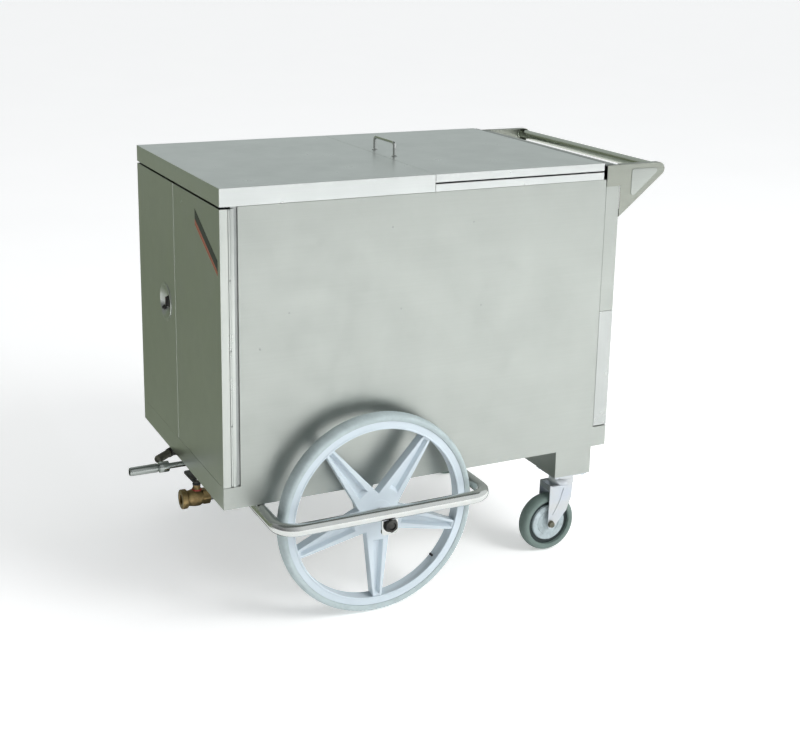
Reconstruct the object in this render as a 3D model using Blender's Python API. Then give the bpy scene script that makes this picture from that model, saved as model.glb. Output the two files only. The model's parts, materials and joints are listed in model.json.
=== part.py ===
"""Closed stainless-steel vending cart: a sheet-metal body on two large wheels and two casters.

Units are metres and +Z is up. X runs from the gas end (left) to the push end (right), Y from the
front panel to the back panel, and Z from the floor. Sizes are written in the cart's own coordinates,
with X = 0 at the left end, Y = 0 at the front panel's outer face and Z = 0 on the floor. The origin
of the finished model is the centre of its outline on the floor.
"""
import math

import bmesh
import bpy
from mathutils import Matrix, Vector

# ---- driving dimensions ----
BODY_LENGTH = 0.862
BODY_WIDTH = 0.550
BODY_BOTTOM = 0.241
BAND_TOP = 0.285
SKIRT_BOTTOM = 0.823
TOP = 0.857
SHEET = 0.0015
GAP = 0.0003
SEAM_X = 0.434
LID_END_X = 0.822
LID_SKIRT_BOTTOM = 0.841
PANEL_X0 = 0.034
PANEL_X1 = 0.829
END_SPLIT_Y = 0.2875
END_SPLIT_HALF_GAP = 0.0009
END_TOP_GAP = 0.0040
FLAP_TOP = 0.542

WHEEL_X = 0.295
WHEEL_RADIUS = 0.205
WHEEL_Y = -0.047
WHEEL_WIDTH = 0.034
AXLE_RADIUS = 0.008
SPOKES = 5

RAIL_Y = -0.108
RAIL_Z = 0.228
RAIL_RADIUS = 0.0125
RAIL_HALF_LENGTH = 0.220

BEAM_X0 = 0.740
BEAM_X1 = 0.828
BEAM_BOTTOM = 0.181
CASTER_RADIUS = 0.064
CASTER_X = (BEAM_X0 + BEAM_X1) / 2
CASTER_TRAIL = 0.034
CASTER_EDGE = 0.045

BAR_X = 0.958
BAR_Z = 0.838
BAR_RADIUS = 0.011
BRACKET_CORNER = 0.014
BRACKET_LOW = 0.743

CUP_Y = 0.357
CUP_Z = 0.560
CUP_RADIUS = 0.0365
CUP_DEPTH = 0.0115
CUP_FLOOR = 0.022

INLET_Y = 0.285
INLET_Z = 0.228
INLET_LENGTH = 0.106
ELBOW_FREE = (-0.037, 0.327)
ELBOW_FOOT = (0.013, 0.366)
VALVE_Y = 0.232
VALVE_Z = 0.173
VALVE_X0 = -0.015
VALVE_X1 = 0.045

# ---- fittings, hinges and the inside ----
DRAIN_X = 0.085
SUPPLY_X = 0.125
SUPPLY_Z = 0.278
DOOR_HINGE_X = 0.0184
DOOR_HINGE_Y = 0.0028
DOOR_PAN_DEPTH = 0.0155
BUTTON_Y = CUP_Y + 0.0235
BUTTON_Z = CUP_Z - 0.0185
BUTTON_RADIUS = 0.0032
LID_HINGE_X = 0.8255
PUSH_END_TOP = 0.8505
LID_HINGE_Z = 0.8540
RIM_TOP = 0.8380
WELL_X0 = 0.466
WELL_X1 = 0.796
WELL_Y0 = 0.036
WELL_BOTTOM = 0.560
WELL_DRAIN_X = 0.520
DIVIDER_X = 0.4370
BURNER_X0 = 0.480
BURNER_X1 = 0.780
BURNER_Z = 0.500
LEVER_X = VALVE_X0 + 0.034
LEVER_Z = VALVE_Z + 0.028
HANDLE_X = 0.455
HANDLE_SPAN = 0.096
HANDLE_HEIGHT = 0.028
HANDLE_ROD = 0.0035
FLAP_BOTTOM = 0.2875
FLAP_HINGE_X = BODY_LENGTH - 0.005
FLAP_HINGE_Z = 0.2925
BRACKET_SHOULDER = 0.808
BRACKET_FOLD = 0.014
BUSH_OUTER = 0.0125
BUSH_CLEARANCE = 0.00005
RIM_INNER = 0.175
RIM_OUTER = 0.191
TYRE_SEGMENTS = 48
GROOVE_START = 0.056
GROOVE_END = 0.161
GROOVE_HALF_IN = 0.0100
GROOVE_HALF_OUT = 0.0040
LUG_WIDTH = 0.020
LUG_NOTCH = 0.0045
NUT_RADIUS = 0.0117
CUP_WALL = 0.0012
VALVE_STEM = 0.0030
KNOB_RADIUS = 0.0125
KNOB_HEIGHT = 0.008
RIDGE_HALF_WIDTH = 0.0025
RIDGE_HALF_LENGTH = 0.0098
FORK_LEG_IN = 0.0185
FORK_LEG_OUT = 0.0215
FORK_BRIDGE_LOW = 0.1505
FORK_BRIDGE_TOP = 0.1535
CASTER_BOLT_RADIUS = 0.004

ORIGIN = Vector(((BAR_X + BRACKET_CORNER - INLET_LENGTH) / 2, BODY_WIDTH / 2, 0.0))

# ---- finishes: colour, roughness, metallic ----
FINISHES = {
    "steel_panel": ((0.62, 0.64, 0.61), 0.38, 1.0),
    "steel_bright": ((0.78, 0.79, 0.78), 0.18, 1.0),
    "steel_inner": ((0.50, 0.51, 0.50), 0.45, 1.0),
    "zinc": ((0.70, 0.71, 0.74), 0.42, 1.0),
    "wheel_paint": ((0.66, 0.72, 0.77), 0.45, 0.0),
    "tyre_grey": ((0.55, 0.60, 0.62), 0.65, 0.0),
    "caster_tyre": ((0.50, 0.55, 0.52), 0.70, 0.0),
    "caster_core": ((0.62, 0.68, 0.70), 0.50, 0.0),
    "brass": ((0.60, 0.48, 0.24), 0.35, 1.0),
    "black_plastic": ((0.02, 0.02, 0.02), 0.45, 0.0),
    "dark_iron": ((0.08, 0.09, 0.08), 0.60, 1.0),
    "copper": ((0.72, 0.43, 0.30), 0.35, 1.0),
}


def clear_scene():
    for obj in list(bpy.data.objects):
        bpy.data.objects.remove(obj, do_unlink=True)


def make_finishes():
    finishes = {}
    for name, (colour, roughness, metallic) in FINISHES.items():
        material = bpy.data.materials.new(name)
        material.use_nodes = True
        shader = material.node_tree.nodes["Principled BSDF"]
        shader.inputs["Base Color"].default_value = (*colour, 1.0)
        shader.inputs["Roughness"].default_value = roughness
        shader.inputs["Metallic"].default_value = metallic
        finishes[name] = material
    return finishes


# ---- mesh makers: each returns a bmesh in cart coordinates ----
def face_out(bm):
    bm.normal_update()
    bmesh.ops.recalc_face_normals(bm, faces=bm.faces)
    return bm


def prism(outline, axis, low, high):
    """A straight bar whose outline lies across the axis: (y, z) on X, (x, z) on Y, (x, y) on Z."""
    place = {
        "X": lambda a, b, c: (c, a, b),
        "Y": lambda a, b, c: (a, c, b),
        "Z": lambda a, b, c: (a, b, c),
    }[axis]
    bm = bmesh.new()
    ends = []
    for level in (low, high):
        ends.append([bm.verts.new(place(a, b, level)) for a, b in outline])
    count = len(outline)
    for i in range(count):
        j = (i + 1) % count
        bm.faces.new((ends[0][i], ends[0][j], ends[1][j], ends[1][i]))
    bm.faces.new(ends[0])
    bm.faces.new(ends[1])
    return face_out(bm)


def block(low, high):
    outline = [(low[0], low[1]), (high[0], low[1]), (high[0], high[1]), (low[0], high[1])]
    return prism(outline, "Z", low[2], high[2])


def window(x, y, hole_x, hole_y, low, high):
    """A flat rectangular frame round a rectangular hole; x, y and the hole are (from, to) pairs."""
    bm = bmesh.new()
    loops = []
    for xs, ys, z in ((x, y, low), (hole_x, hole_y, low), (hole_x, hole_y, high), (x, y, high)):
        loops.append([bm.verts.new((xs[i], ys[j], z)) for i, j in ((0, 0), (1, 0), (1, 1), (0, 1))])
    for lower, upper in zip(loops, [*loops[1:], loops[0]]):
        for k in range(4):
            m = (k + 1) % 4
            bm.faces.new((lower[k], lower[m], upper[m], upper[k]))
    return face_out(bm)


def tray(low, high, wall, open_side):
    """A box with one open side, such as "+X", and walls of one thickness."""
    bm = block(low, high)
    bm.normal_update()
    sign = 1.0 if open_side[0] == "+" else -1.0
    index = "XYZ".index(open_side[1])
    mouth = max(bm.faces, key=lambda f: sign * f.calc_center_median()[index])
    bmesh.ops.inset_region(bm, faces=[mouth], thickness=wall, use_even_offset=True)
    depth = high[index] - low[index] - wall
    floor = bmesh.ops.extrude_discrete_faces(bm, faces=[mouth])["faces"][0]
    for vert in floor.verts:
        vert.co[index] -= sign * depth
    return face_out(bm)


def turned(profile, centre, axis, segments, closed=False):
    """A lathe solid. The profile is (radius, distance along the axis); closed makes it a ring."""
    bm = bmesh.new()
    turn = {
        "X": Matrix(((0, 0, 1), (1, 0, 0), (0, 1, 0))),
        "Y": Matrix(((1, 0, 0), (0, 0, 1), (0, 1, 0))),
        "Z": Matrix.Identity(3),
    }[axis]
    rings = []
    for radius, along in profile:
        if radius < 1e-9:
            rings.append([bm.verts.new(turn @ Vector((0, 0, along)) + Vector(centre))])
            continue
        ring = []
        for i in range(segments):
            angle = 2 * math.pi * (i + 0.5) / segments
            spot = Vector((radius * math.cos(angle), radius * math.sin(angle), along))
            ring.append(bm.verts.new(turn @ spot + Vector(centre)))
        rings.append(ring)
    pairs = list(zip(rings, rings[1:]))
    if closed:
        pairs.append((rings[-1], rings[0]))
    for lower, upper in pairs:
        for i in range(segments):
            j = (i + 1) % segments
            corners = [lower[i % len(lower)], lower[j % len(lower)]]
            corners += [upper[j % len(upper)], upper[i % len(upper)]]
            unique = list(dict.fromkeys(corners))
            if len(unique) > 2:
                bm.faces.new(unique)
    return face_out(bm)


def ring(inner, outer, low, high, centre, axis, segments):
    profile = [(inner, low), (outer, low), (outer, high), (inner, high)]
    return turned(profile, centre, axis, segments, closed=True)


def disc(radius, low, high, centre, axis, segments):
    return turned([(0, low), (radius, low), (radius, high), (0, high)], centre, axis, segments)


def rounded_path(corners, bend, steps=6):
    """Straight runs between the corners, with each inner corner rounded to a bend radius."""
    corners = [Vector(c) for c in corners]
    path = [corners[0]]
    for before, corner, after in zip(corners, corners[1:], corners[2:]):
        way_in = (before - corner).normalized()
        way_out = (after - corner).normalized()
        half = way_in.angle(way_out) / 2
        reach = bend / math.tan(half)
        start = corner + way_in * reach
        end = corner + way_out * reach
        middle = corner + (way_in + way_out).normalized() * (bend / math.sin(half))
        for k in range(steps + 1):
            out = (start - middle).normalized().slerp((end - middle).normalized(), k / steps)
            path.append(middle + out * bend)
    path.append(corners[-1])
    return path


def tube(path, radius, segments=12):
    """A round rod along a path, with flat ends."""
    path = [Vector(p) for p in path]
    bm = bmesh.new()
    ahead = (path[1] - path[0]).normalized()
    across = ahead.orthogonal().normalized()
    rings = []
    for i, point in enumerate(path):
        before = (point - path[i - 1]).normalized() if i else ahead
        after = (path[i + 1] - point).normalized() if i + 1 < len(path) else before
        tangent = (before + after).normalized()
        across = (across - tangent * across.dot(tangent)).normalized()
        up = tangent.cross(across)
        ring_verts = []
        for k in range(segments):
            angle = 2 * math.pi * k / segments
            spot = point + (across * math.cos(angle) + up * math.sin(angle)) * radius
            ring_verts.append(bm.verts.new(spot))
        rings.append(ring_verts)
    for lower, upper in zip(rings, rings[1:]):
        for k in range(segments):
            m = (k + 1) % segments
            bm.faces.new((lower[k], lower[m], upper[m], upper[k]))
    bm.faces.new(rings[0])
    bm.faces.new(rings[-1])
    return face_out(bm)


def combined(*meshes):
    """Several meshes in one, as separate shells for a Boolean to join."""
    total = bmesh.new()
    for part in meshes:
        shell = bpy.data.meshes.new("shell")
        part.to_mesh(shell)
        part.free()
        total.from_mesh(shell)
        bpy.data.meshes.remove(shell)
    return total


def mirrored(bm):
    """The same piece on the other side of the cart's middle plane."""
    for vert in bm.verts:
        vert.co.y = BODY_WIDTH - vert.co.y
    return face_out(bm)


# ---- objects ----
def add(name, bm, finish, at=None, parent=None):
    """An object with its origin at a cart point, so that a moving piece turns about its own axis."""
    at = Vector(at) if at else Vector((0, 0, 0))
    for vert in bm.verts:
        vert.co -= at
    mesh = bpy.data.meshes.new(name)
    bm.to_mesh(mesh)
    bm.free()
    mesh.shade_smooth()
    mesh.set_sharp_from_angle(angle=math.radians(35))
    if finish:
        mesh.materials.append(finish)
    obj = bpy.data.objects.new(name, mesh)
    bpy.context.scene.collection.objects.link(obj)
    obj.location = at - ORIGIN
    if parent:
        obj.location = at - ORIGIN - world_spot(parent)
        obj.parent = parent
    return obj


def world_spot(obj):
    spot = obj.location.copy()
    while obj.parent:
        obj = obj.parent
        spot += obj.location
    return spot


def combine(obj, bm, operation):
    """Cuts a hidden tool out of an object, or joins it on, with a Boolean."""
    count = len(obj.modifiers) + 1
    tool = add(f"{obj.name}_{operation.lower()}_{count}", bm, None)
    tool.hide_render = True
    tool.display_type = "WIRE"
    modifier = obj.modifiers.new(f"{operation.lower()}_{count}", "BOOLEAN")
    modifier.operation = operation
    modifier.solver = "EXACT"
    modifier.object = tool
    return obj


def cut(obj, bm):
    return combine(obj, bm, "DIFFERENCE")


def fuse(obj, bm):
    return combine(obj, bm, "UNION")


# ---- body ----
def make_base(finish):
    """An open tray under the body, with the hangers that carry the axle."""
    base = add(
        "base_tray",
        tray((0, SHEET + GAP, BODY_BOTTOM), (BODY_LENGTH, BODY_WIDTH - SHEET - GAP, BAND_TOP), SHEET, "+Z"),
        finish["steel_panel"],
    )
    hanger_half = 0.028
    for y in (0.022, BODY_WIDTH - 0.026):
        outline = [
            (WHEEL_X - hanger_half, BODY_BOTTOM + SHEET / 2),
            (WHEEL_X + hanger_half, BODY_BOTTOM + SHEET / 2),
            (WHEEL_X + 0.016, WHEEL_RADIUS - 0.018),
            (WHEEL_X - 0.016, WHEEL_RADIUS - 0.018),
        ]
        fuse(base, prism(outline, "Y", y, y + 0.004))
    axle_hole = disc(AXLE_RADIUS + GAP, 0, BODY_WIDTH, (WHEEL_X, 0, WHEEL_RADIUS), "Y", 24)
    cut(base, axle_hole)
    cut(base, disc(0.0065, -0.01, 0.01, (SUPPLY_X, INLET_Y, BODY_BOTTOM), "Z", 20))
    cut(base, disc(0.013, -0.01, 0.01, (DRAIN_X, VALVE_Y, BODY_BOTTOM), "Z", 20))


def side_outline():
    """The front and back panels: one sheet with the base band, notched at its two upper corners."""
    top = SKIRT_BOTTOM - GAP
    return [
        (0, BODY_BOTTOM),
        (BODY_LENGTH, BODY_BOTTOM),
        (BODY_LENGTH, BAND_TOP),
        (PANEL_X1, BAND_TOP),
        (PANEL_X1, top),
        (PANEL_X0, top),
        (PANEL_X0, BAND_TOP),
        (0, BAND_TOP),
    ]


def make_side_panels(finish):
    add("front_panel", prism(side_outline(), "Y", 0, SHEET), finish["steel_panel"])
    back = mirrored(prism(side_outline(), "Y", 0, SHEET))
    add("back_panel", back, finish["steel_panel"])


def make_posts(finish):
    """Angle posts inside the four corners, between the tray's floor and the covers."""
    low = BODY_BOTTOM + SHEET + GAP
    high = SKIRT_BOTTOM - GAP
    face = 2 * SHEET + 2 * GAP
    leg = 0.0020
    left = [
        (0.0215, face),
        (0.0600, face),
        (0.0600, face + 0.030),
        (0.0580, face + 0.030),
        (0.0580, face + leg),
        (0.0215, face + leg),
    ]
    right = [
        (PANEL_X1 - GAP, face),
        (PANEL_X1 - GAP, face + 0.030),
        (PANEL_X1 - GAP - leg, face + 0.030),
        (PANEL_X1 - GAP - leg, face + leg),
        (PANEL_X1 - 0.038, face + leg),
        (PANEL_X1 - 0.038, face),
    ]
    for side, outline in (("left", left), ("right", right)):
        add(f"post_front_{side}", prism(outline, "Z", low, high), finish["steel_inner"])
        add(f"post_back_{side}", mirrored(prism(outline, "Z", low, high)), finish["steel_inner"])


def make_end_door(finish):
    """The left end's door: a shallow pan that turns on a long hinge at the front corner."""
    low = (0, 0, BAND_TOP + 2 * GAP)
    high = (DOOR_PAN_DEPTH, END_SPLIT_Y - END_SPLIT_HALF_GAP, SKIRT_BOTTOM - END_TOP_GAP)
    axis = (DOOR_HINGE_X, DOOR_HINGE_Y, BAND_TOP)
    add("end_door", tray(low, high, SHEET, "+X"), finish["steel_panel"], at=axis)
    leaf = [
        (DOOR_HINGE_X, 0.0002),
        (0.0300, 0.0002),
        (0.0300, 0.0018),
        (DOOR_HINGE_X, 0.0018),
    ]
    z0 = BAND_TOP + 2 * GAP
    z1 = SKIRT_BOTTOM - END_TOP_GAP
    hinge = add("end_door_hinge", prism(leaf, "Z", z0, z1), finish["steel_bright"])
    fuse(hinge, disc(0.0025, z0, z1, (DOOR_HINGE_X, DOOR_HINGE_Y, 0), "Z", 16))


def make_control_panel(finish):
    """The fixed rear part of the left end, folded round the back corner, with its round recess."""
    y1 = BODY_WIDTH
    outline = [
        (0, END_SPLIT_Y + END_SPLIT_HALF_GAP),
        (0, y1),
        (PANEL_X0 - GAP, y1),
        (PANEL_X0 - GAP, y1 - SHEET),
        (SHEET, y1 - SHEET),
        (SHEET, END_SPLIT_Y + END_SPLIT_HALF_GAP),
    ]
    panel = prism(outline, "Z", BAND_TOP + GAP, SKIRT_BOTTOM - END_TOP_GAP)
    panel_obj = add("control_panel", panel, finish["steel_panel"])
    cut(panel_obj, disc(CUP_RADIUS, -0.01, 0.01, (0, CUP_Y, CUP_Z), "X", 36))
    outer = CUP_RADIUS - GAP
    wall = 0.0012
    profile = [
        (0, CUP_DEPTH),
        (CUP_FLOOR, CUP_DEPTH),
        (outer, 0.0016),
        (outer, -GAP),
        (outer + 0.0035, -GAP),
        (outer + 0.0035, -GAP - wall),
        (outer - wall, -GAP - wall),
        (outer - wall, 0.0008),
        (CUP_FLOOR - wall / 2, CUP_DEPTH - wall),
        (0, CUP_DEPTH - wall),
    ]
    cup = add("control_cup", turned(profile, (0, CUP_Y, CUP_Z), "X", 36), finish["steel_inner"])
    cut(cup, disc(0.0045, 0, 0.05, (0, CUP_Y, CUP_Z), "X", 20))
    cut(cup, disc(BUTTON_RADIUS + GAP, 0, 0.05, (0, BUTTON_Y, BUTTON_Z), "X", 20))


def make_controls(finish):
    """Gas valve with its knob, and the piezo igniter with its push button."""
    floor = CUP_DEPTH - CUP_WALL
    stem = VALVE_STEM
    stem_end = floor - 0.005
    profile = [
        (0, stem_end),
        (stem, stem_end),
        (stem, CUP_DEPTH + 0.003),
        (0.010, CUP_DEPTH + 0.003),
        (0.010, CUP_DEPTH + 0.012),
        (0.016, CUP_DEPTH + 0.012),
        (0.016, CUP_DEPTH + 0.050),
        (0, CUP_DEPTH + 0.050),
    ]
    add("gas_valve", turned(profile, (0, CUP_Y, CUP_Z), "X", 20), finish["brass"])
    knob_face = floor - KNOB_HEIGHT
    knob_profile = [
        (stem + GAP, floor - 0.001),
        (KNOB_RADIUS, floor - 0.001),
        (KNOB_RADIUS, floor - 0.004),
        (0.0115, floor - 0.005),
        (0.0108, knob_face + 0.0008),
        (0.0100, knob_face),
        (0, knob_face),
        (0, stem_end - GAP),
        (stem + GAP, stem_end - GAP),
    ]
    knob = turned(knob_profile, (0, CUP_Y, CUP_Z), "X", 32, closed=True)
    knob_obj = add("control_knob", knob, finish["black_plastic"], at=(0, CUP_Y, CUP_Z))
    ridge = block(
        (knob_face - 0.003, CUP_Y - RIDGE_HALF_WIDTH, CUP_Z - RIDGE_HALF_LENGTH),
        (knob_face + 0.001, CUP_Y + RIDGE_HALF_WIDTH, CUP_Z + RIDGE_HALF_LENGTH),
    )
    fuse(knob_obj, ridge)
    centre = (0, BUTTON_Y, BUTTON_Z)
    button = disc(BUTTON_RADIUS, -0.0012, CUP_DEPTH + 0.010, centre, "X", 20)
    add("igniter_button", button, finish["black_plastic"], at=(floor, BUTTON_Y, BUTTON_Z))
    body_profile = [
        (0, CUP_DEPTH + 0.045),
        (0.009, CUP_DEPTH + 0.045),
        (0.009, CUP_DEPTH + GAP),
        (0.0045, CUP_DEPTH + GAP),
        (0.0045, CUP_DEPTH + 0.016),
        (0, CUP_DEPTH + 0.016),
    ]
    add("igniter_body", turned(body_profile, centre, "X", 20), finish["black_plastic"])


def make_top(finish):
    """Left cover, hinged lid with its rod handle, and the rim of the well beneath the lid."""
    cover = tray((0, 0, SKIRT_BOTTOM), (SEAM_X - GAP, BODY_WIDTH, TOP), SHEET, "-Z")
    add("left_cover", cover, finish["steel_panel"])
    pan = tray((SEAM_X + GAP, 0, LID_SKIRT_BOTTOM), (LID_END_X, BODY_WIDTH, TOP), SHEET, "-Z")
    lid = add("lid", pan, finish["steel_panel"], at=(LID_HINGE_X, BODY_WIDTH / 2, LID_HINGE_Z))
    half = HANDLE_SPAN / 2
    middle = BODY_WIDTH / 2
    foot = TOP + GAP
    corners = [
        (HANDLE_X, middle - half, foot),
        (HANDLE_X, middle - half, foot + HANDLE_HEIGHT),
        (HANDLE_X, middle + half, foot + HANDLE_HEIGHT),
        (HANDLE_X, middle + half, foot),
    ]
    handle = tube(rounded_path(corners, 0.008, 4), HANDLE_ROD, 10)
    add("lid_handle", handle, finish["steel_bright"], at=(HANDLE_X, middle, foot), parent=lid)
    hinge_end = 0.006
    pin = disc(0.0030, hinge_end, BODY_WIDTH - hinge_end, (LID_HINGE_X, 0, LID_HINGE_Z), "Y", 16)
    hinge = add("lid_hinge", pin, finish["steel_bright"])
    leaf = [
        (LID_HINGE_X, PUSH_END_TOP + GAP),
        (0.850, PUSH_END_TOP + GAP),
        (0.850, PUSH_END_TOP + GAP + 0.0012),
        (LID_HINGE_X, PUSH_END_TOP + GAP + 0.0012),
    ]
    fuse(hinge, prism(leaf, "Y", hinge_end + 0.004, BODY_WIDTH - hinge_end - 0.004))


def make_well(finish):
    """The rim frame, the well tank that hangs in it, and the drain pipe under the tank."""
    x0 = SEAM_X + GAP
    x1 = LID_END_X
    rim = add(
        "well_rim",
        tray((x0, 0, SKIRT_BOTTOM), (x1, BODY_WIDTH, RIM_TOP), SHEET, "-Z"),
        finish["steel_bright"],
    )
    cut(rim, block((WELL_X0, WELL_Y0, 0.80), (WELL_X1, BODY_WIDTH - WELL_Y0, 0.90)))
    inner = 0.002
    tank = add(
        "well_tank",
        tray(
            (WELL_X0 + inner, WELL_Y0 + inner, WELL_BOTTOM),
            (WELL_X1 - inner, BODY_WIDTH - WELL_Y0 - inner, RIM_TOP + GAP + SHEET),
            SHEET,
            "+Z",
        ),
        finish["steel_inner"],
    )
    hole = inner + SHEET
    lip = window(
        (WELL_X0 - 0.010, WELL_X1 + 0.010),
        (WELL_Y0 - 0.010, BODY_WIDTH - WELL_Y0 + 0.010),
        (WELL_X0 + hole, WELL_X1 - hole),
        (WELL_Y0 + hole, BODY_WIDTH - WELL_Y0 - hole),
        RIM_TOP + GAP,
        RIM_TOP + GAP + SHEET,
    )
    fuse(tank, lip)
    cut(tank, disc(0.011, WELL_BOTTOM - 0.01, WELL_BOTTOM + 0.01, (WELL_DRAIN_X, VALVE_Y, 0), "Z", 20))


def make_drain(finish):
    """Drain pipe from the tank's floor to the ball valve that hangs below the base."""
    corners = [
        (WELL_DRAIN_X, VALVE_Y, WELL_BOTTOM - GAP),
        (WELL_DRAIN_X, VALVE_Y, 0.330),
        (DRAIN_X, VALVE_Y, 0.330),
        (DRAIN_X, VALVE_Y, VALVE_Z),
        (VALVE_X1 + GAP, VALVE_Y, VALVE_Z),
    ]
    pipe = tube(rounded_path(corners, 0.020, 5), 0.011, 14)
    add("drain_pipe", pipe, finish["steel_inner"])
    bore = 0.010
    profile = [
        (bore, VALVE_X0),
        (0.0205, VALVE_X0),
        (0.0205, VALVE_X0 + 0.012),
        (0.0170, VALVE_X0 + 0.014),
        (0.0185, VALVE_X0 + 0.028),
        (0.0185, VALVE_X0 + 0.040),
        (0.0165, VALVE_X0 + 0.044),
        (0.0165, VALVE_X1),
        (0, VALVE_X1),
        (0, VALVE_X0 + 0.022),
        (bore, VALVE_X0 + 0.022),
    ]
    shell = turned(profile, (0, VALVE_Y, VALVE_Z), "X", 24, closed=True)
    body = add("drain_valve", shell, finish["brass"])
    stem_top = LEVER_Z - 0.001
    fuse(body, disc(0.0075, VALVE_Z, stem_top, (LEVER_X, VALVE_Y, 0), "Z", 16))
    low = LEVER_Z
    hub = disc(0.0085, low, low + 0.007, (LEVER_X, VALVE_Y, 0), "Z", 20)
    lever = add("drain_lever", hub, finish["black_plastic"], at=(LEVER_X, VALVE_Y, LEVER_Z))
    outline = [
        (LEVER_X - 0.005, VALVE_Y),
        (LEVER_X + 0.005, VALVE_Y),
        (LEVER_X + 0.0075, VALVE_Y + 0.060),
        (LEVER_X, VALVE_Y + 0.066),
        (LEVER_X - 0.0075, VALVE_Y + 0.060),
    ]
    fuse(lever, prism(outline, "Z", low + 0.001, low + 0.006))


def make_gas(finish):
    """Hose tail and elbow under the base, the supply pipe, and the burner under the tank."""
    centre = (0, INLET_Y, INLET_Z)
    bore = 0.006
    collar = -0.024
    profile = [
        (bore, -INLET_LENGTH),
        (0.0080, -INLET_LENGTH),
        (0.0090, -INLET_LENGTH + 0.003),
        (0.0095, collar - 0.022),
        (0.0115, collar - 0.020),
        (0.0115, collar),
        (0.0060, collar + 0.002),
        (0.0060, 0.012),
        (0, 0.012),
        (0, -0.056),
        (bore, -0.056),
    ]
    add("gas_inlet", turned(profile, centre, "X", 24, closed=True), finish["steel_bright"])
    elbow_z = BODY_BOTTOM - GAP - 0.012
    branch = tube([(*ELBOW_FREE, elbow_z), (*ELBOW_FOOT, elbow_z)], 0.0085, 16)
    elbow = add("gas_elbow", branch, finish["dark_iron"])
    fuse(elbow, disc(0.0100, elbow_z - 0.010, BODY_BOTTOM - GAP, (*ELBOW_FOOT, 0), "Z", 20))
    supply = [
        (0.0125, INLET_Y, INLET_Z),
        (SUPPLY_X, INLET_Y, INLET_Z),
        (SUPPLY_X, INLET_Y, SUPPLY_Z),
        (SUPPLY_X, CUP_Y, SUPPLY_Z),
        (SUPPLY_X, CUP_Y, CUP_Z),
        (CUP_DEPTH + 0.0505, CUP_Y, CUP_Z),
    ]
    add("supply_pipe", tube(rounded_path(supply, 0.016, 4), 0.005, 10), finish["copper"])
    feed_start = CUP_Z + 0.0165
    feed = [
        (0.056, CUP_Y, feed_start),
        (0.056, CUP_Y, 0.640),
        (0.400, CUP_Y, 0.640),
        (0.400, CUP_Y, BURNER_Z),
        (BURNER_X0 - GAP, CUP_Y, BURNER_Z),
    ]
    add("burner_pipe", tube(rounded_path(feed, 0.016, 4), 0.005, 10), finish["copper"])
    burner = disc(0.018, BURNER_X0, BURNER_X1, (0, CUP_Y, BURNER_Z), "X", 20)
    burner_obj = add("burner", burner, finish["dark_iron"])
    fuse(burner_obj, disc(0.018, CUP_Y - 0.180, CUP_Y, (BURNER_X1 - 0.060, 0, BURNER_Z), "Y", 20))


def make_divider(finish):
    """The wall between the gas compartment and the well, notched for the drain and gas pipes."""
    sheet = block(
        (DIVIDER_X, 0.040, BODY_BOTTOM + SHEET + GAP),
        (DIVIDER_X + SHEET, BODY_WIDTH - 0.040, SKIRT_BOTTOM - GAP),
    )
    divider = add("divider", sheet, finish["steel_inner"])
    x = DIVIDER_X
    cut(divider, disc(0.013, -0.01, 0.01, (x, VALVE_Y, 0.330), "X", 20))
    cut(divider, disc(0.008, -0.01, 0.01, (x, CUP_Y, BURNER_Z), "X", 16))


def make_push_end(finish):
    """Fixed upper end panel, drop-down flap below it, and the flap's hinge pin and handle."""
    upper = tray(
        (PANEL_X1 + GAP, 0, FLAP_TOP + GAP),
        (BODY_LENGTH, BODY_WIDTH, PUSH_END_TOP),
        SHEET,
        "-X",
    )
    add("push_end_panel", upper, finish["steel_panel"])
    axis = (FLAP_HINGE_X, BODY_WIDTH / 2, FLAP_HINGE_Z)
    pan = tray((PANEL_X1 + 0.0006, 0, FLAP_BOTTOM), (BODY_LENGTH, BODY_WIDTH, FLAP_TOP - GAP), SHEET, "-X")
    flap = add("push_end_flap", pan, finish["steel_panel"], at=axis)
    ear_hole = disc(0.0023, -0.01, BODY_WIDTH + 0.01, (FLAP_HINGE_X, 0, FLAP_HINGE_Z), "Y", 16)
    cut(flap, ear_hole)
    pin = disc(0.0020, 0.0005, BODY_WIDTH - 0.0005, (FLAP_HINGE_X, 0, FLAP_HINGE_Z), "Y", 16)
    hinge = add("flap_hinge", pin, finish["steel_bright"])
    for y in (0.080, BODY_WIDTH - 0.080 - LUG_WIDTH):
        lug = block(
            (FLAP_HINGE_X - 0.0022, y, BAND_TOP + GAP),
            (FLAP_HINGE_X + 0.0022, y + LUG_WIDTH, FLAP_HINGE_Z),
        )
        fuse(hinge, lug)
        notch = block(
            (FLAP_HINGE_X - 0.008, y - LUG_NOTCH, FLAP_BOTTOM - 0.005),
            (BODY_LENGTH + 0.005, y + LUG_WIDTH + LUG_NOTCH, FLAP_HINGE_Z + 0.003),
        )
        cut(flap, notch)
    middle = BODY_WIDTH / 2
    half = HANDLE_SPAN / 2
    z = FLAP_TOP - 0.035
    foot = BODY_LENGTH + GAP
    corners = [
        (foot, middle - half, z),
        (foot + HANDLE_HEIGHT, middle - half, z),
        (foot + HANDLE_HEIGHT, middle + half, z),
        (foot, middle + half, z),
    ]
    handle = tube(rounded_path(corners, 0.008, 4), HANDLE_ROD, 10)
    add("flap_handle", handle, finish["steel_bright"], at=(foot, middle, z), parent=flap)


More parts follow.
